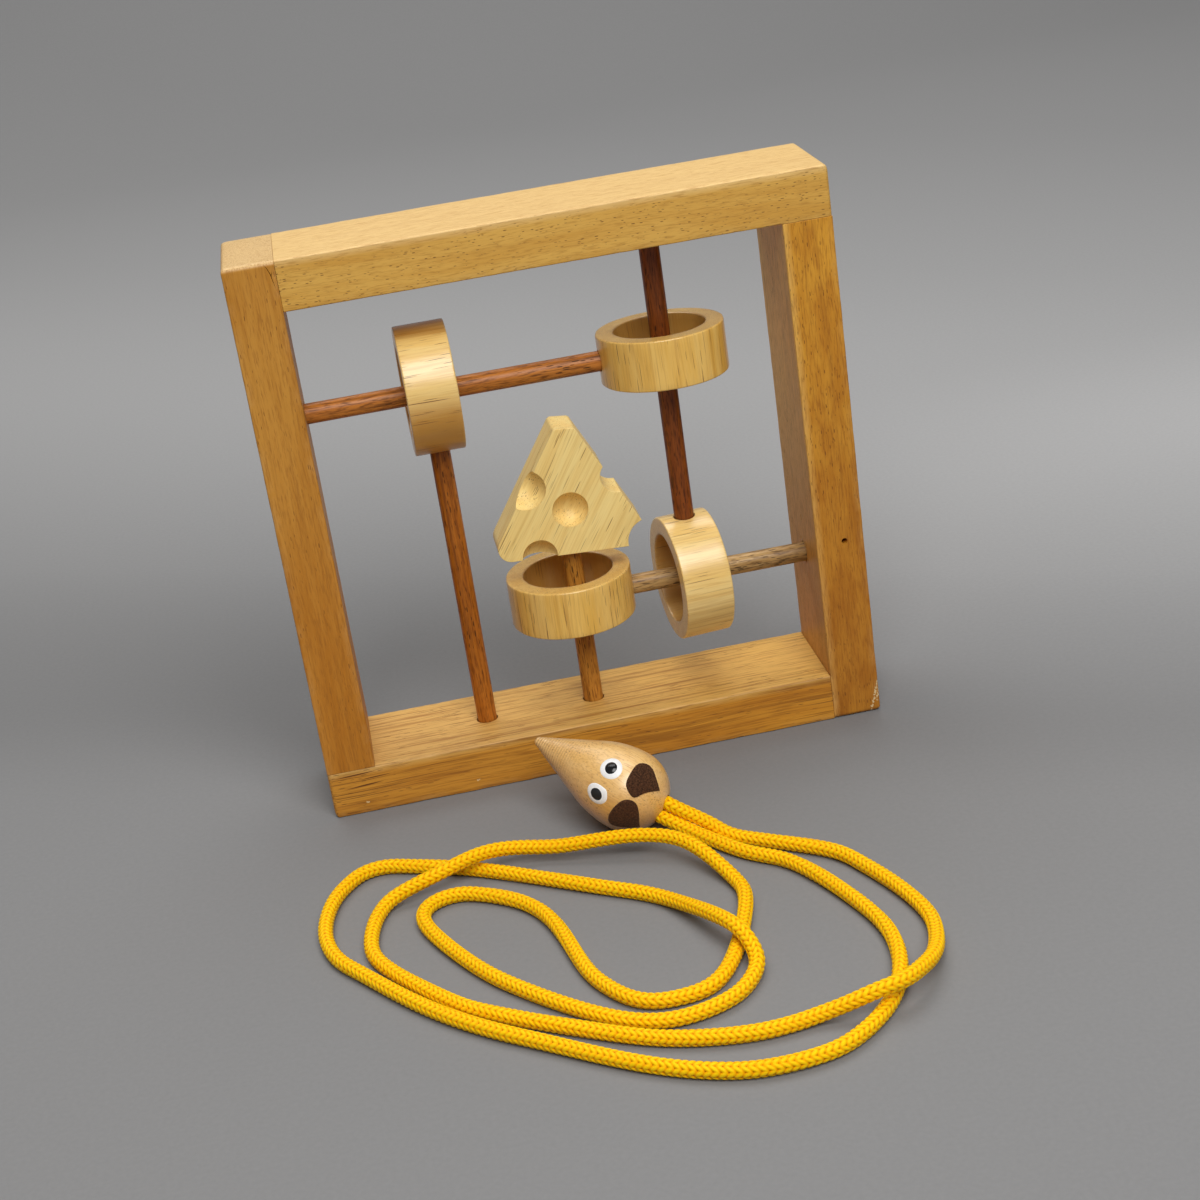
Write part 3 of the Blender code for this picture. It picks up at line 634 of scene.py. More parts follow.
def bar_rows(half_width, half_depth, half_length):
    """Loops of points along a bar with eased edges, square where the next bar butts against it."""
    joint = half_length - 2 * half_width
    start = -half_length - JOINT_CLOSED
    steps = [start, start + BAR_SQUARE_EDGE, *np.arange(-half_length + 1, joint - 1, 1.25)]
    steps += list(np.arange(joint - 1, half_length - 1.2, 0.5))
    stations = [(z, 0.0, BAR_EDGE) for z in steps]
    stations[0] = (start, BAR_SQUARE_EDGE, BAR_EDGE - BAR_SQUARE_EDGE)
    for angle in np.linspace(0, math.pi / 2, 7):
        inset = BAR_END_EDGE * (1 - math.cos(angle))
        outer = max(BAR_EDGE, BAR_END_EDGE * math.sin(angle))
        stations.append((half_length - BAR_END_EDGE + BAR_END_EDGE * math.sin(angle), inset, outer))
    rows = []
    for z, inset, outer in stations:
        inner = np.interp(z, (joint - 0.8, joint + 0.4), (BAR_EDGE, BAR_SQUARE_EDGE))
        butt = inset if z < 0 else 0
        left, right = -half_width + butt, half_width - inset
        low, high = -half_depth + inset, half_depth - inset
        corners = (
            arc(right - outer, high - outer, outer, 0, math.pi / 2, 6),
            arc(left + inner, high - inner, inner, math.pi / 2, math.pi, 6),
            arc(left + inner, low + inner, inner, math.pi, 1.5 * math.pi, 6),
            arc(right - outer, low + outer, outer, 1.5 * math.pi, 2 * math.pi, 6),
        )
        loop = []
        for i, corner in enumerate(corners):
            after = corners[(i + 1) % 4][0]
            share = np.linspace(0, 1, 8 if i % 2 == 0 else 18)[1:-1, None]
            loop += [corner, corner[-1] + (after - corner[-1]) * share]
        flat = np.vstack(loop)
        rows.append(np.column_stack((flat, np.full(len(flat), z))))
    return np.array(rows)


def bar_wear(rows, half_width, half_depth, seed):
    """How worn each point of a bar is: its edges, unevenly."""
    edge_gap = np.maximum(half_width - np.abs(rows[..., 0]), half_depth - np.abs(rows[..., 1]))
    near = np.clip(1 - edge_gap / 1.1, 0, 1)
    worn = np.array([
        noise.noise(Vector((x * 0.15, y * 0.15, z * 0.16 + seed)))
        + 0.6 * noise.noise(Vector((x, y, z * 0.7 + seed)))
        for x, y, z in rows.reshape(-1, 3)
    ]).reshape(near.shape)
    return near * np.clip(0.35 + worn, 0, 1.2)


def add_bar(name, material, cutters, seed):
    outward, along = BARS[name]
    low, high = box_mm(name)
    middle, size = (low + high) / 2, high - low
    x_way, z_way = Vector(outward), Vector(along)
    y_way = z_way.cross(x_way)
    half = [abs(Vector(size).dot(way)) / 2 for way in (x_way, y_way, z_way)]
    rows = bar_rows(*half)
    worn = bar_wear(rows, half[0], half[1], seed)
    inward = unit(rows * np.array((0, 0, 1)) - rows)
    rows = rows + inward * (worn * BAR_WEAR_DEPTH)[..., None]
    place = Matrix.Translation(Vector(middle) * MM) @ Matrix((x_way, y_way, z_way)).transposed().to_4x4()
    mesh = carve(moved(skin(name, rows), place), cutters)
    local = (points_of(mesh) - middle) @ np.array((x_way, y_way, z_way)).T
    set_values(mesh, "grain", "FLOAT_VECTOR", local + np.array((seed * 13.7, seed * 5.3, seed * 41)))
    set_values(mesh, "wear_and_crest_highlight", "FLOAT", bar_wear(local[None], half[0], half[1], seed)[0])
    # The face with a paler painted tone, standing in for sheen and light on it: the top of the frame on two
    # bars, else the side towards the middle
    if name == "top_rail":
        beyond = local[:, 0] - half[0]
    elif name == "left_stile":
        beyond = local[:, 2] - half[2]
    else:
        beyond = -local[:, 0] - half[0]
    set_values(mesh, "inner", "FLOAT", np.clip((beyond + 1) / 0.8, 0, 1))
    add_piece(f"{name}_wood", mesh, material, "frame", [name])


def sliver(name, line, width, depth):
    """A thin wedge cutter along points (x, z) of the front, for a split in the wood."""
    line = np.array([(x, FRONT, z) for x, z in line], float)
    facing = np.array((0.0, -1.0, 0.0))
    side = unit(np.cross(np.gradient(line, axis=0), facing))
    swell = np.sin(np.linspace(0.12, math.pi - 0.12, len(line)))[:, None]
    out = line + facing * HOLE_OVERSHOOT
    reach = side * width * swell
    return skin(name, np.stack((out + reach, out - reach, line - facing * depth * swell), axis=1))


def bar_woods():
    # inner is a paler tone painted on one face of each bar, standing in for sheen and light on it
    return {
        "top_rail": wood(
            "top_rail_wood", (0.75, 0.43, 0.09), (0.66, 0.345, 0.06), (0.42, 0.19, 0.03),
            (0.15, 0.052, 0.009), streaks=0.15, pore_gap=0.42, pore_length=1.7, pore_share=0.75,
            pore_size=0.29, inner=(0.84, 0.58, 0.25), inner_calm=0.75),
        "right_stile": wood(
            "right_stile_wood", (0.61, 0.27, 0.028), (0.49, 0.19, 0.016), (0.27, 0.085, 0.008),
            (0.14, 0.04, 0.006), figure=(0.26, 0.07), pore_gap=0.4, pore_length=2.4, pore_share=0.75,
            pore_size=0.26, inner=(0.8, 0.45, 0.11),
            # change paints this stile darker at its foot and brighter towards the top, as light falling from
            # above
            change=(2, 10, 125, (0.85, 0.76, 0.72), (1.17, 1.24, 1.16)), marks=(
                (70, 8.4, 68.6, 3.5, 0.32, CHIP), (68.6, 4, 67.6, 0.5, 0.3, CHIP),
                (70, 6, 69.2, 3, 0.28, CHIP))),
        "bottom_rail": wood(
            "bottom_rail_wood", (0.65, 0.285, 0.032), (0.52, 0.205, 0.021), (0.27, 0.09, 0.01),
            (0.11, 0.033, 0.005), streaks=0.65, fibre_scale=(2.4, 0.12), pore_gap=0.45, pore_length=4,
            pore_share=0.45, pore_size=0.28, line_length=60, line_depth=0.7, inner=(0.66, 0.41, 0.118),
            change=(0, -50, 50, (1.04, 1.04, 1.1), (1.1, 1.09, 0.98)), marks=(
                (-66.2, 7.3, -56.1, 7.85, 0.22, STREAK), (-69, 10.6, -57, 11, 0.2, STREAK),
                (-63, 9.2, -54, 9.5, 0.16, STREAK), (-61.7, 2.9, -61.3, 2.9, 0.22, CHIP),
                (-33.8, 2.8, -33.4, 2.9, 0.22, CHIP), (-70, 6.2, -69.6, 6.2, 0.3, CHIP))),
        "left_stile": wood(
            "left_stile_wood", (0.6, 0.275, 0.04), (0.5, 0.205, 0.022), (0.33, 0.12, 0.014),
            (0.15, 0.046, 0.007), pore_gap=0.45, pore_length=3, pore_share=0.45, pore_size=0.26,
            # change paints this stile paler towards the top, as light falling from above
            inner=(0.74, 0.52, 0.23), change=(2, 10, 125, (0.97, 0.86, 0.72), (1.02, 1.04, 1.1))),
    }


def build_bars():
    woods = bar_woods()
    cracks = [sliver("split", SPLIT, 0.11, 1.2), sliver("split_branch", SPLIT_BRANCH, 0.08, 0.8)]
    pits = [
        plain_rod("pin_hole", (65.05, -16, 47.5), (65.05, -11, 47.5), 0.75, 24),
        ball("tick_high", (58, -0.5, 50.1), (0.35, 0.4, 0.85)),
        ball("tick_low", (58, 2.2, 43.6), (0.3, 0.35, 0.5)),
    ]
    cutters = {
        "top_rail": post_holes("top_post"),
        "right_stile": post_holes("right_post") + pits,
        "bottom_rail": post_holes("low_post", "cheese_post"),
        "left_stile": post_holes("left_post") + cracks,
    }
    for seed, name in enumerate(BARS, 1):
        add_bar(name, woods[name], cutters[name], seed)


def add_post(name, material, seed):
    start, end, radius = rod_line(name)
    length = np.linalg.norm(end - start)
    ease = np.array(POST_EASE)
    heights = np.concatenate((ease[:, 0], np.arange(1, length - 0.5, 1.1), length - ease[::-1, 0]))
    radii = np.full(len(heights), radius)
    radii[:3] -= ease[:, 1]
    radii[-3:] -= ease[::-1, 1]
    profile = [(0, 0), *zip(radii, heights), (0, length)]

    def ripple(angles, points):
        worn = worn_round(angles, points, 2.6, 0.07, seed * 9)
        return np.where(points[..., 0] > 0, 0.05 * worn - 0.03, 0)

    mesh = turned(name, profile, POST_SIDES, along_z(start, end), ripple=ripple)
    set_grain(mesh, end - start, start, (seed * 7.7, seed * 3.1, seed * 23))
    add_piece(f"{name}_wood", mesh, material, "frame", [name])


def build_posts():
    for seed, (name, (pale, mid, dark)) in enumerate(POST_TONES.items(), 1):
        material = wood(
            f"{name}_wood", pale, mid, dark, tuple(0.3 * c for c in dark), figure=(0.5, 0.03), streaks=0.75,
            fibre_scale=(2.4, 0.3), fibre=0.45, pore_length=3, pore_share=0.55, pore_size=0.36,
            pore_depth=0.9, line_depth=0.6, gloss=0.38, shine=0.3)
        add_post(name, material, seed)


def ring_profile():
    """A ring's section as (radius, height), in mm: outside, lower rim, bore, upper rim, with eased edges."""
    outer, inner, half, edge = RING_DIAMETER / 2, RING_BORE / 2, RING_LENGTH / 2, RING_EDGE
    quarter = math.pi / 2
    wall = np.linspace(-half + edge, half - edge, 9)[1:-1]
    rim = np.linspace(inner + edge, outer - edge, 6)[1:-1]
    return np.vstack((
        arc(outer - edge, half - edge, edge, quarter, 0, 5),
        np.column_stack((np.full(7, outer), wall[::-1])),
        arc(outer - edge, edge - half, edge, 0, -quarter, 5),
        np.column_stack((rim[::-1], np.full(4, -half))),
        arc(inner + edge, edge - half, edge, -quarter, -2 * quarter, 5),
        np.column_stack((np.full(7, inner), wall)),
        arc(inner + edge, half - edge, edge, 2 * quarter, quarter, 5),
        np.column_stack((rim, np.full(4, half))),
    ))


def add_ring(name, material, post, lies_along_x, seed):
    low, high = box_mm(name)
    middle, half = (low + high) / 2, RING_LENGTH / 2

    def ripple(angles, points):
        worn = worn_round(angles, points, 7, 0.4, seed * 5)
        edge_share = np.clip(1 - (half - np.abs(points[..., 1])) / 0.9, 0, 1)
        return -0.12 * np.clip(worn, 0, 1) * edge_share - 0.03 * (worn + 0.5)

    turn = Matrix.Rotation(RING_TURNS.get(name, 0), 4, "Z" if lies_along_x else "X")
    if lies_along_x:
        turn = turn @ Matrix.Rotation(math.pi / 2, 4, "Y")
    place = Matrix.Translation(Vector(middle) * MM) @ turn
    mesh = turned(name, ring_profile(), RING_SIDES, place, closed=True, ripple=ripple)
    mesh = carve(mesh, post_holes(post))
    set_grain(mesh, turn.to_3x3() @ Vector((0, 0, 1)), middle, (seed * 19, seed * 11, seed * 37))
    local = (points_of(mesh) - middle) @ np.array(turn.to_3x3())
    around, away = np.hypot(local[:, 0], local[:, 1]), np.abs(local[:, 2])
    set_values(mesh, "wear_and_crest_highlight", "FLOAT", np.clip(1 - (half - away) / 0.5, 0, 1) * 0.9)
    # The bore is darker: painted shade inside the ring
    set_values(mesh, "inner", "FLOAT", np.clip((RING_BORE / 2 + 0.5 - around) / 0.3, 0, 1))
    add_piece(f"{name}_wood", mesh, material, "frame", [name])


def build_rings():
    # inner darkens the bores, painted shade inside the rings
    look = {
        "figure": (0.35, 0.03), "streaks": 0.45, "fibre": 0.16, "fibre_scale": (3, 0.1), "pore_gap": 0.42,
        "pore_length": 9, "pore_share": 0.35, "pore_size": 0.28, "gloss": 0.32, "coat": 0.8, "shine": 0.4,
        "line_length": 28, "line_depth": 0.9, "inner": (0.42, 0.21, 0.045),
    }
    pore = (0.21, 0.075, 0.012)
    golden = ((0.9, 0.57, 0.145), (0.82, 0.47, 0.085), (0.5, 0.23, 0.035), pore)
    # A paler copy of the ring wood: painted light and sheen for the two rings whose outsides face up
    pale = ((0.95, 0.68, 0.26), (0.9, 0.59, 0.18), (0.58, 0.28, 0.05), pore)
    ring_wood = wood("ring_wood", *golden, **look)
    lit_ring_wood = wood("painted_light_ring_wood", *pale, **look)
    # On the paler copy, the upper left ring's lower band is partly dark wood and partly painted shade; its
    # thin top band is a painted shadow of the top rail
    banded_lit_ring_wood = wood("lit_ring_wood_with_dark_and_shadow_bands", *pale, dark_and_shadow_bands=((24, 15), (32.6, 34.2)), **look)
    add_ring("upper_left_ring", banded_lit_ring_wood, "low_post", True, 1)
    add_ring("upper_right_ring", ring_wood, "left_post", False, 2)
    add_ring("lower_right_ring", lit_ring_wood, "top_post", True, 3)
    add_ring("centre_ring", ring_wood, "right_post", False, 4)


def rounded_corners(corners):
    """Points round an outline whose corners, listed anticlockwise, are arcs of their own radius."""
    points = []
    for i, (x, y, radius) in enumerate(corners):
        here = Vector((x, y))
        back = (Vector(corners[i - 1][:2]) - here).normalized()
        ahead = (Vector(corners[(i + 1) % len(corners)][:2]) - here).normalized()
        half_angle = back.angle(ahead) / 2
        centre = here + (back + ahead).normalized() * (radius / math.sin(half_angle))
        start = math.atan2(back.x, -back.y)
        points.append(arc(centre.x, centre.y, radius, start, start + math.pi - 2 * half_angle, 12))
    return np.vstack(points)


def add_cheese():
    low, high = box_mm("cheese_wedge")
    foot_x, foot_z = CHEESE_PLACE
    outline = rounded_corners(CHEESE_CORNERS)
    flat = np.column_stack((outline[:, 0] + foot_x, np.zeros(len(outline)), outline[:, 1] + foot_z))
    rows = np.stack([flat + np.array((0, y, 0)) for y in (low[1], high[1])])
    notches = []
    for x, z, radius in CHEESE_NOTCHES:
        start, end = [(foot_x + x, y, foot_z + z) for y in (low[1] - 2, high[1] + 2)]
        notches.append(plain_rod("notch", start, end, radius, 72))
    mesh = carve(skin("cheese_wedge", rows), notches, bevel=CHEESE_EDGE)
    dimples = [
        ball("dimple", (foot_x + x, low[1], foot_z + z), (radius, radius, radius))
        for x, z, radius in CHEESE_DIMPLES
    ]
    mesh = carve(mesh, dimples + post_holes("cheese_post"))
    set_grain(mesh, CHEESE_GRAIN, (foot_x, 0, foot_z), (5, 71, 13))
    material = wood(
        "cheese_wood", (0.97, 0.74, 0.29), (0.94, 0.67, 0.235), (0.68, 0.41, 0.1), (0.21, 0.085, 0.014),
        figure=(0.35, 0.03), streaks=0.25, fibre=0.2, fibre_scale=(3.6, 0.07), pore_gap=0.42, pore_length=10,
        pore_share=0.5, pore_size=0.28, pore_depth=0.85, line_length=22, line_depth=0.75)
    add_piece("cheese_wedge_wood", mesh, material, "frame", ["cheese_wedge"], sharp=28)


# Mouse

def mouse_profile():
    """The mouse's outline from nose to tail as (radius, height), in mm."""
    nose_height = MOUSE_NOSE_LENGTH - MOUSE_NOSE_RADIUS
    inset = MOUSE_SHOULDER_RADIUS - MOUSE_RADIUS
    between = math.hypot(inset, nose_height)
    slope = math.atan2(nose_height, inset) - math.acos((MOUSE_SHOULDER_RADIUS - MOUSE_NOSE_RADIUS) / between)
    nose = arc(0, nose_height, MOUSE_NOSE_RADIUS, math.pi / 2, slope, 10)
    shoulder = arc(-inset, 0, MOUSE_SHOULDER_RADIUS, slope, 0, 110)
    tail = arc(0, 0, MOUSE_RADIUS, 0, -math.pi / 2, 60)
    cone = np.linspace(nose[-1], shoulder[0], 160)[1:-1]
    line = np.vstack((nose, cone, shoulder, tail[1:]))
    line[0, 0] = line[-1, 0] = 0
    return line


def mouse_place():
    return (
        Matrix.Translation(Vector(MOUSE_PLACE) * MM) @ Matrix.Rotation(MOUSE_HEADING, 4, "Z")
        @ Matrix.Rotation(math.pi / 2 - MOUSE_PITCH, 4, "Y") @ Matrix.Rotation(math.pi - MOUSE_ROLL, 4, "Z")
    )


def add_mouse_body():
    def grooves(angles, height):
        below = MOUSE_NOSE_LENGTH - height
        fade = np.clip(1 - below / RIDGE_REACH, 0, 1) * np.clip(below / 0.8, 0, 1)
        torn = 0.75 + 0.25 * np.sin(3 * angles + 1.3) * np.sin(7 * angles)
        return fade, torn * (0.5 - 0.5 * np.cos(2 * math.pi * below / RIDGE_PITCH))

    def ripple(angles, points):
        fade, groove = grooves(angles, points[..., 1])
        return -2 * RIDGE_HEIGHT * fade * groove * (points[..., 0] > 0)

    holes = []
    for i, (out, stop) in enumerate(cord_ends()):
        way = unit(stop - out)
        start, end = out - way * 3, stop + way * HOLE_OVERSHOOT
        holes.append(plain_rod(f"tail_hole_{i}", start, end, CORD_DIAMETER / 2 + TAIL_HOLE_PLAY))
    mesh = carve(turned("mouse_body", mouse_profile(), MOUSE_SIDES, mouse_place(), ripple=ripple), holes)
    turn = np.array(mouse_place().to_3x3())
    set_grain(mesh, turn[:, 2], MOUSE_PLACE, (3, 9, 2))
    local = (points_of(mesh) - np.array(MOUSE_PLACE)) @ turn
    fade, groove = grooves(np.arctan2(local[:, 1], local[:, 0]), local[:, 2])
    # Painted shade in the lathe grooves, and on the ridges between them a painted highlight
    set_values(mesh, "inner", "FLOAT", np.sqrt(fade) * groove)
    set_values(mesh, "wear_and_crest_highlight", "FLOAT", np.sqrt(fade) * (1 - groove))
    # The upper side is painted paler and whiter, a painted sheen from the light above
    out = local * np.array((1, 1, 0))
    upward = out @ turn[2] / np.maximum(np.linalg.norm(out, axis=1), 0.01)
    set_values(mesh, "painted_top_sheen", "FLOAT", np.clip(0.45 + 0.75 * upward, 0, 1))
    # inner is painted shade in the lathe grooves; the top sheen tones whiten the upper side, a painted
    # highlight
    material = wood(
        "turned_mouse_wood", (0.86, 0.51, 0.15), (0.78, 0.425, 0.095), (0.52, 0.24, 0.04), (0.28, 0.1, 0.017),
        figure=(0.2, 0.05), streaks=0.2, pore_gap=0.55, pore_length=0.9, pore_share=0.75, pore_size=0.38,
        pore_depth=0.6, gloss=0.4, coat=0.9, shine=0.9, inner=(0.3, 0.11, 0.018), painted_light_and_shade_share=0.75,
        painted_top_sheen=((0.76, 0.66, 0.62), (1.1, 1.2, 1.6)))
    add_piece("mouse_body_wood", mesh, material, "mouse", ["mouse_body"])


def on_skin(centre, plane_points, heights):
    """Put points of a plane that touches the mouse onto its skin, raised by their heights (all in mm)."""
    profile = mouse_profile()[::-1]
    distance, turn = centre
    curve = MOUSE_SHOULDER_RADIUS if distance > 0 else MOUSE_RADIUS
    rise = math.asin(distance / curve)
    radius = MOUSE_RADIUS - curve + curve * math.cos(rise)
    touch = np.array(Matrix.Rotation(turn, 4, "Z") @ Matrix.Translation((radius, 0, distance))
                     @ Matrix.Rotation(math.pi / 2 - rise, 4, "Y"))
    flat = np.column_stack((plane_points, np.zeros(len(plane_points)))) @ touch[:3, :3].T + touch[:3, 3]
    inward = -touch[:3, 2]
    # Halve the way in from the plane until it ends at the skin
    near, far = np.zeros(len(flat)), np.full(len(flat), 8.0)
    for _ in range(40):
        middle = (near + far) / 2
        at = flat + middle[:, None] * inward
        outside = np.hypot(at[:, 0], at[:, 1]) > np.interp(at[:, 2], profile[:, 1], profile[:, 0])
        near, far = np.where(outside, middle, near), np.where(outside, far, middle)
    at = flat + near[:, None] * inward
    around = np.hypot(at[:, 0], at[:, 1])
    lean = np.gradient(profile[:, 0], profile[:, 1])
    slope = -np.interp(at[:, 2], profile[:, 1], lean)
    normal = unit(np.column_stack((at[:, 0] / around, at[:, 1] / around, slope)))
    return at + normal * np.array(heights)[:, None]


def patch(name, centre, outline, section, base=0.0, rough=0.0):
    """A thin closed piece on the mouse's skin. section lists (share of outline, height) from inside out."""
    middle = outline.mean(axis=0)
    rows = []
    for share, height in [*section, (0.0, 0.0)]:
        flat = middle + (outline - middle) * share
        lift = np.full(len(flat), base + height)
        if rough and height > 0.3 * rough:
            lift += [rough * noise.noise(Vector((x * 2.3, y * 2.3, 3.7))) for x, y in flat]
        rows.append(on_skin(centre, flat, lift))
    mesh = moved(skin(name, np.array(rows)), mouse_place())
    set_values(mesh, "grain", "FLOAT_VECTOR", points_of(mesh))
    return mesh


def dome(height, fullness):
    shares = np.sin(np.linspace(0, math.pi / 2, DOME_STEPS))
    return [(share, height * (1 - share**fullness) ** 0.7) for share in shares]


def add_ear(label, side, felt):
    flat_top = [(0.0, 1.0), (0.3, 1.0), (0.55, 0.99), (0.75, 0.97), (0.88, 0.94)]
    bends = np.linspace(0.25, math.pi / 2, 6)
    rolled = [(0.88 + 0.12 * math.sin(bend), 0.94 * math.cos(bend) ** 0.8) for bend in bends]
    section = [(share, height * EAR_HEIGHT) for share, height in flat_top + rolled]
    corners = [(tailward, side * outward, 0) for tailward, outward in EARS[label]]
    corners.append(corners[0])
    first, last = np.subtract(corners[1], corners[0]), np.subtract(corners[-1], corners[-2])
    line = smooth_route(corners, unit(first), unit(last))[:-1, :2]
    mesh = patch(f"ear_{label}", (EAR_ALONG, side * EAR_TURN), line, section, rough=0.07)
    name = f"mouse_ear_{label}"
    add_piece(f"{name}_felt", mesh, felt, "mouse", [name], sharp=60)


def add_eye(label, side, white, black):
    angles = np.linspace(0, 2 * math.pi, EYE_SIDES, endpoint=False)
    circle = np.column_stack((np.cos(angles), np.sin(angles)))
    wobble = 1 + 0.025 * np.cos(2 * angles + 0.6) + 0.02 * np.cos(3 * angles + side)
    if label == "left":
        off_bulge = np.mod(angles - 0.9 + math.pi, 2 * math.pi) - math.pi
        wobble += 0.1 * np.exp(-(off_bulge / 0.3) ** 2)
    line = circle * EYE_RADII[label] * wobble[:, None]
    mesh = patch(f"eye_{label}", EYES[label], line, dome(EYE_HEIGHT, 4))
    name = f"mouse_eye_{label}"
    add_piece(f"{name}_paint", mesh, white, "mouse", [name], sharp=60)

    wobble = 1 + 0.02 * np.cos(2 * angles + 2)
    line = circle * PUPIL_RADII[label] * wobble[:, None]
    section = dome(PUPIL_HEIGHT[label], 2.2)
    mesh = patch(f"pupil_{label}", EYES[label], line, section, base=EYE_HEIGHT * 0.75)
    name = f"mouse_pupil_{label}"
    add_piece(f"{name}_paint", mesh, black, "mouse", [name], sharp=60)


def add_face():
    felt = felt_material()
    white = paint_material("white_paint", (0.93, 0.93, 0.92), (0.86, 0.86, 0.85), 0.38)
    dull = paint_material("dull_black_paint", (0.006, 0.006, 0.007), (0.014, 0.014, 0.015), 0.5)
    glossy = paint_material("gloss_black_paint", (0.004, 0.004, 0.005), (0.008, 0.008, 0.009), 0.08)
    for label, side, black in (("left", -1, dull), ("right", 1, glossy)):
        add_ear(label, side, felt)
        add_eye(label, side, white, black)


# Cord

def cord_ends():
    """Each cord end's line in the mouse, in mm: where it leaves the tail, and where it stops inside."""
    lines = []
    for x, y in CORD_ENDS:
        ends = [Vector((x, y, z)) * MM for z in (-MOUSE_RADIUS, CORD_IN_MOUSE - MOUSE_RADIUS)]
        lines.append([np.array(mouse_place() @ end) / MM for end in ends])
    return lines


def smooth_route(points, first_way, last_way, between=12):
    """A curve through the points that bends evenly, leaving and arriving in the given directions."""
    points = np.array(points, float)
    gaps = np.linalg.norm(np.diff(points, axis=0), axis=1)
    spans = np.sqrt(gaps)
    count = len(points)
    system = np.eye(count)
    target = np.zeros((count, 3))
    target[0] = np.array(first_way) * gaps[0] / spans[0]
    target[-1] = np.array(last_way) * gaps[-1] / spans[-1]
    for i in range(1, count - 1):
        before, after = 1 / spans[i - 1], 1 / spans[i]
        system[i, i - 1:i + 2] = before, 2 * (before + after), after
        target[i] = 3 * ((points[i] - points[i - 1]) * before**2 + (points[i + 1] - points[i]) * after**2)
    speeds = np.linalg.solve(system, target)
    t = np.linspace(0, 1, between, endpoint=False)[:, None]
    pieces = [
        (2 * t**3 - 3 * t**2 + 1) * points[i] + (t**3 - 2 * t**2 + t) * spans[i] * speeds[i]
        + (3 * t**2 - 2 * t**3) * points[i + 1] + (t**3 - t**2) * spans[i] * speeds[i + 1]
        for i in range(count - 1)
    ]
    return np.vstack((*pieces, points[-1:]))


def even_steps(line, step):
    """The line again with points an even distance apart, and the distance of each from the start."""
    along = np.concatenate(([0], np.cumsum(np.linalg.norm(np.diff(line, axis=0), axis=1))))
    at = np.linspace(0, along[-1], math.ceil(along[-1] / step) + 1)
    return np.stack([np.interp(at, along, line[:, k]) for k in range(3)], axis=1), at


def cord_line():
    (start, start_stop), (finish, finish_stop) = cord_ends()
    nose_way = unit(start_stop - start)
    layer = CORD_DIAMETER + CORD_CROSSING_GAP
    lying = [(x, y, CORD_DIAMETER / 2 + level * layer) for x, y, level in CORD_ROUTE]
    route = smooth_route([start_stop, start, *lying, finish, finish_stop], -nose_way, nose_way, between=24)
    route[:, 2] = np.maximum(route[:, 2], CORD_DIAMETER / 2)
    return route


def frames_along(line):
    """A side and an up direction at each point, which turn with the line and don't twist about it."""
    ways = unit(np.gradient(line, axis=0))
    ups = np.empty_like(line)
    up = np.array((0.0, 0, 1))
    for i, way in enumerate(ways):
        up = unit(up - way * (up @ way))
        ups[i] = up
    return np.cross(ways, ups), ups


def add_cord(material):
    """The knitted cord: each stitch is a raised V, in columns that wind slowly round it."""
    route = cord_line()
    step, around = ((0.17, 72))
    line, along = even_steps(route, step)
    sides, ups = frames_along(line)
    angles = np.linspace(0, 2 * math.pi, around, endpoint=False)
    drift = along / COLUMN_TWIST + 0.12 * np.sin(along / 37)
    turns = (angles[None] / (2 * math.pi) + drift[:, None]) * BRAID_COLUMNS
    column = np.floor(turns)
    across = np.abs(turns - column - 0.5)
    climb = along[:, None] / STITCH + turns / BRAID_COLUMNS - 1.5 * across
    crest = 1 - np.abs(2 * np.mod(climb, 1) - 1) ** 2.4
    crown = 1 - np.abs(4 * across - 1) ** 2.2
    relief = 1 - (1 - crest) * (1 - 0.55 * crown) - 0.2 * crest * (1 - crown)
    slow = 1 - 0.012 * (1 + np.sin(along / 11) * np.sin(along / 29))
    radius = (CORD_DIAMETER / 2) * slow[:, None] - STITCH_DEPTH * (1 - relief)
    rows = line[:, None] + radius[..., None] * (
        sides[:, None] * np.cos(angles)[None, :, None] + ups[:, None] * np.sin(angles)[None, :, None]
    )
    mesh = skin("cord_loop", rows, weld=False)
    set_values(mesh, "relief", "FLOAT", relief)
    arc_length = turns / BRAID_COLUMNS * math.pi * CORD_DIAMETER
    lengthwise = np.broadcast_to(along[:, None], relief.shape)
    braid = np.stack((lengthwise, arc_length, np.zeros_like(relief)), axis=-1)
    set_values(mesh, "braid", "FLOAT_VECTOR", braid)
    cord = add_piece("cord_loop_knit", mesh, material, "mouse", ["cord_loop"], sharp=180)


# Stage

def add_camera():
    data = bpy.data.cameras.new("camera")
    data.lens = CAMERA_LENS
    data.sensor_width = SENSOR
    data.clip_start = 0.01
    camera = add_object("camera", data)
    turn = Matrix((CAMERA_RIGHT, CAMERA_UP, CAMERA_BACK)).transposed().to_4x4()
    camera.matrix_world = Matrix.Translation(Vector(CAMERA_PLACE) * MM) @ turn
    bpy.context.scene.camera = camera


def add_lamp(name, way, distance, size, power):
    data = bpy.data.lights.new(name, "AREA")
    data.shape = "DISK"
    data.size = size
    data.energy = power
    way = Vector(way).normalized()
    turn = way.to_track_quat("Z", "Y").to_matrix().to_4x4()
    add_object(name, data).matrix_world = Matrix.Translation(Vector(LAMP_TARGET) + way * distance) @ turn


def floor_spot(place, middle, radii):
    """1 in the middle of a soft oval on the floor, 0 outside it, in metres."""
    away = vector_calc("SUBTRACT", place, (*middle, 0))
    away = vector_calc("MULTIPLY", away, (1 / radii[0], 1 / radii[1], 0))
    return remap(node("VectorMath", {0: away}, operation="LENGTH").outputs["Value"], 1.0, 0.3)


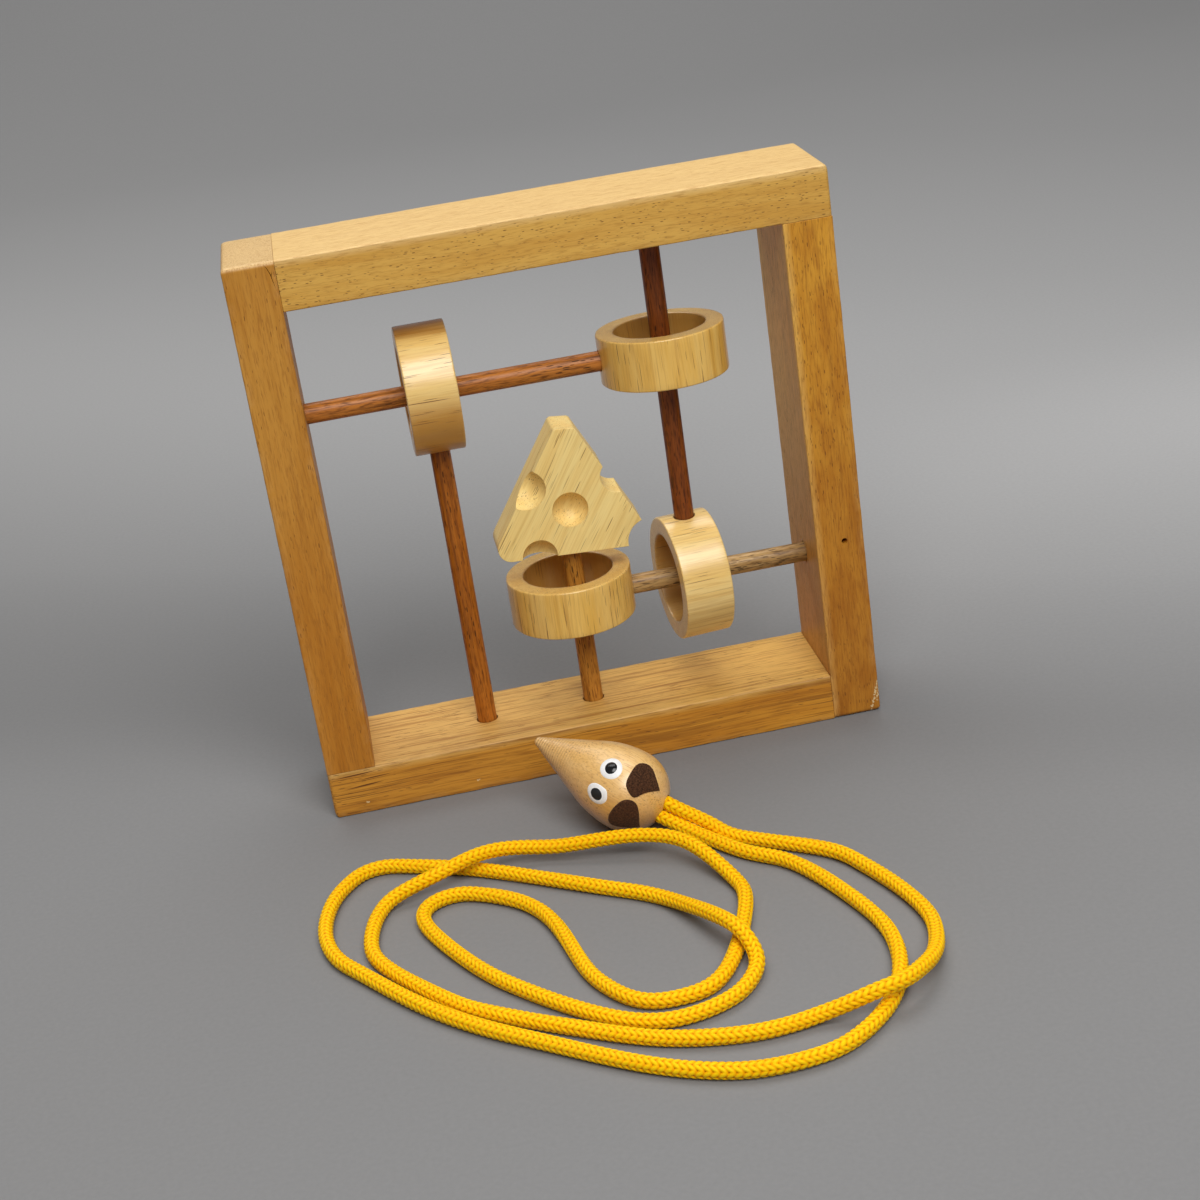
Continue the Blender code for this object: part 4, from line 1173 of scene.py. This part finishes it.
def seen_rays(tree):
    """1 for rays that show a surface, to the camera, by reflection or in glass, 0 for those that light it."""
    rays = node("LightPath", tree=tree).outputs
    either = calc("MAXIMUM", rays["Is Camera Ray"], rays["Is Glossy Ray"])
    return calc("MAXIMUM", either, rays["Is Transmission Ray"])


def floor_mesh():
    """Floor and backdrop in one sweep, in metres."""
    curve = arc(SWEEP_START, SWEEP_RADIUS, SWEEP_RADIUS, -math.pi / 2, 0, 24)
    line = np.vstack(((-FLOOR_REACH, 0), curve, (SWEEP_START + SWEEP_RADIUS, SWEEP_TOP)))
    y, z = line[:, 0], line[:, 1] - FLOOR_DROP
    rows = np.stack([np.column_stack((np.full(len(y), x), y, z)) for x in (FLOOR_REACH, -FLOOR_REACH)], 1)
    index = np.arange(2 * len(line)).reshape(-1, 2)
    quads = np.column_stack((index[:-1], index[1:, ::-1]))
    mesh = bpy.data.meshes.new("floor")
    mesh.from_pydata(rows.reshape(-1, 3), [], quads.tolist())
    mesh.shade_smooth()
    return mesh


def floor_material():
    """Grey paper, with painted bands of light and shade and a painted pool of light. Beside and in front of
    the object it fades into the background far away.
    """
    made, tree, shader = new_material("pale_floor")
    place = node("TexCoord", tree=tree).outputs["Object"]
    off = node("SeparateXYZ", {0: vector_calc("SUBTRACT", place, FLOOR_PIVOT)}).outputs
    turn = calc("ARCTAN2", off[1], times(off[0], -1.0))
    low, high = math.radians(FLOOR_LIGHT_BANDS[0][0]), math.radians(FLOOR_LIGHT_BANDS[-1][0])
    ramp = node("ValToRGB", {0: calc("DIVIDE", minus(turn, low), high - low)})
    ramp.color_ramp.interpolation = "CARDINAL"
    stops = ramp.color_ramp.elements
    while len(stops) < len(FLOOR_LIGHT_BANDS):
        stops.new(0.5)
    for stop, (degrees, tone) in zip(stops, FLOOR_LIGHT_BANDS):
        stop.position = (math.radians(degrees) - low) / (high - low)
        stop.color = (tone, tone * 0.99, tone * 0.985, 1)
    tooth = noise_at(place, (900, 900, 900), 2.0)
    tooth = mix(tooth, (0.94, 0.94, 0.94), (1.06, 1.06, 1.06))
    colour = mix(1.0, ramp.outputs[0], tooth, "MULTIPLY")
    # A painted pool of light on the floor, to the right of the object
    painted_light_pool = floor_spot(place, (0.22, 0.06), (0.3, 0.2))
    colour = mix(painted_light_pool, colour, (1.16, 1.16, 1.16), "MULTIPLY")
    fill(shader, {"Base Color": colour, "Roughness": 0.9, "Specular IOR Level": 0.1})
    x, y, _ = node("SeparateXYZ", {0: place}).outputs
    away = calc("MAXIMUM", calc("ABSOLUTE", x), times(y, -1.0))
    far = times(remap(away, *FLOOR_FADE), seen_rays(tree))
    glow = node("Emission", {"Color": (*BACKGROUND, 1)}, tree)
    both = node("MixShader", {0: far, 1: shader.outputs[0], 2: glow.outputs[0]})
    fill(tree.nodes["Material Output"], {"Surface": both.outputs[0]})
    return made


def set_world():
    """Weak even light, with the grey background where it is seen."""
    world = bpy.data.worlds.new("studio")
    bpy.context.scene.world = world
    world.use_nodes = True
    tree = world.node_tree
    light = tree.nodes["Background"]
    fill(light, {"Color": (1, 1, 1, 1), "Strength": WORLD_STRENGTH})
    seen = node("Background", {"Color": (*BACKGROUND, 1), "Strength": 1.0}, tree)
    choice = node("MixShader", {0: seen_rays(tree), 1: light.outputs[0], 2: seen.outputs[0]})
    fill(tree.nodes["World Output"], {"Surface": choice.outputs[0]})


def build_stage():
    mesh = floor_mesh()
    mesh.materials.append(floor_material())
    floor = add_object("floor", mesh)
    set_world()
    for name, settings in LAMPS.items():
        add_lamp(name, *settings)
    bpy.context.scene.view_settings.view_transform = "Standard"


def dress_pins():
    pin_wood = pin_material()
    for name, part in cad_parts.items():
        if name.startswith("pin_"):
            part.data.materials.clear()
            part.data.materials.append(pin_wood)


def main():
    build_bars()
    build_rings()
    add_cheese()
    build_posts()
    add_mouse_body()
    add_face()
    add_cord(cord_material())
    dress_pins()
    build_stage()
    add_camera()


main()
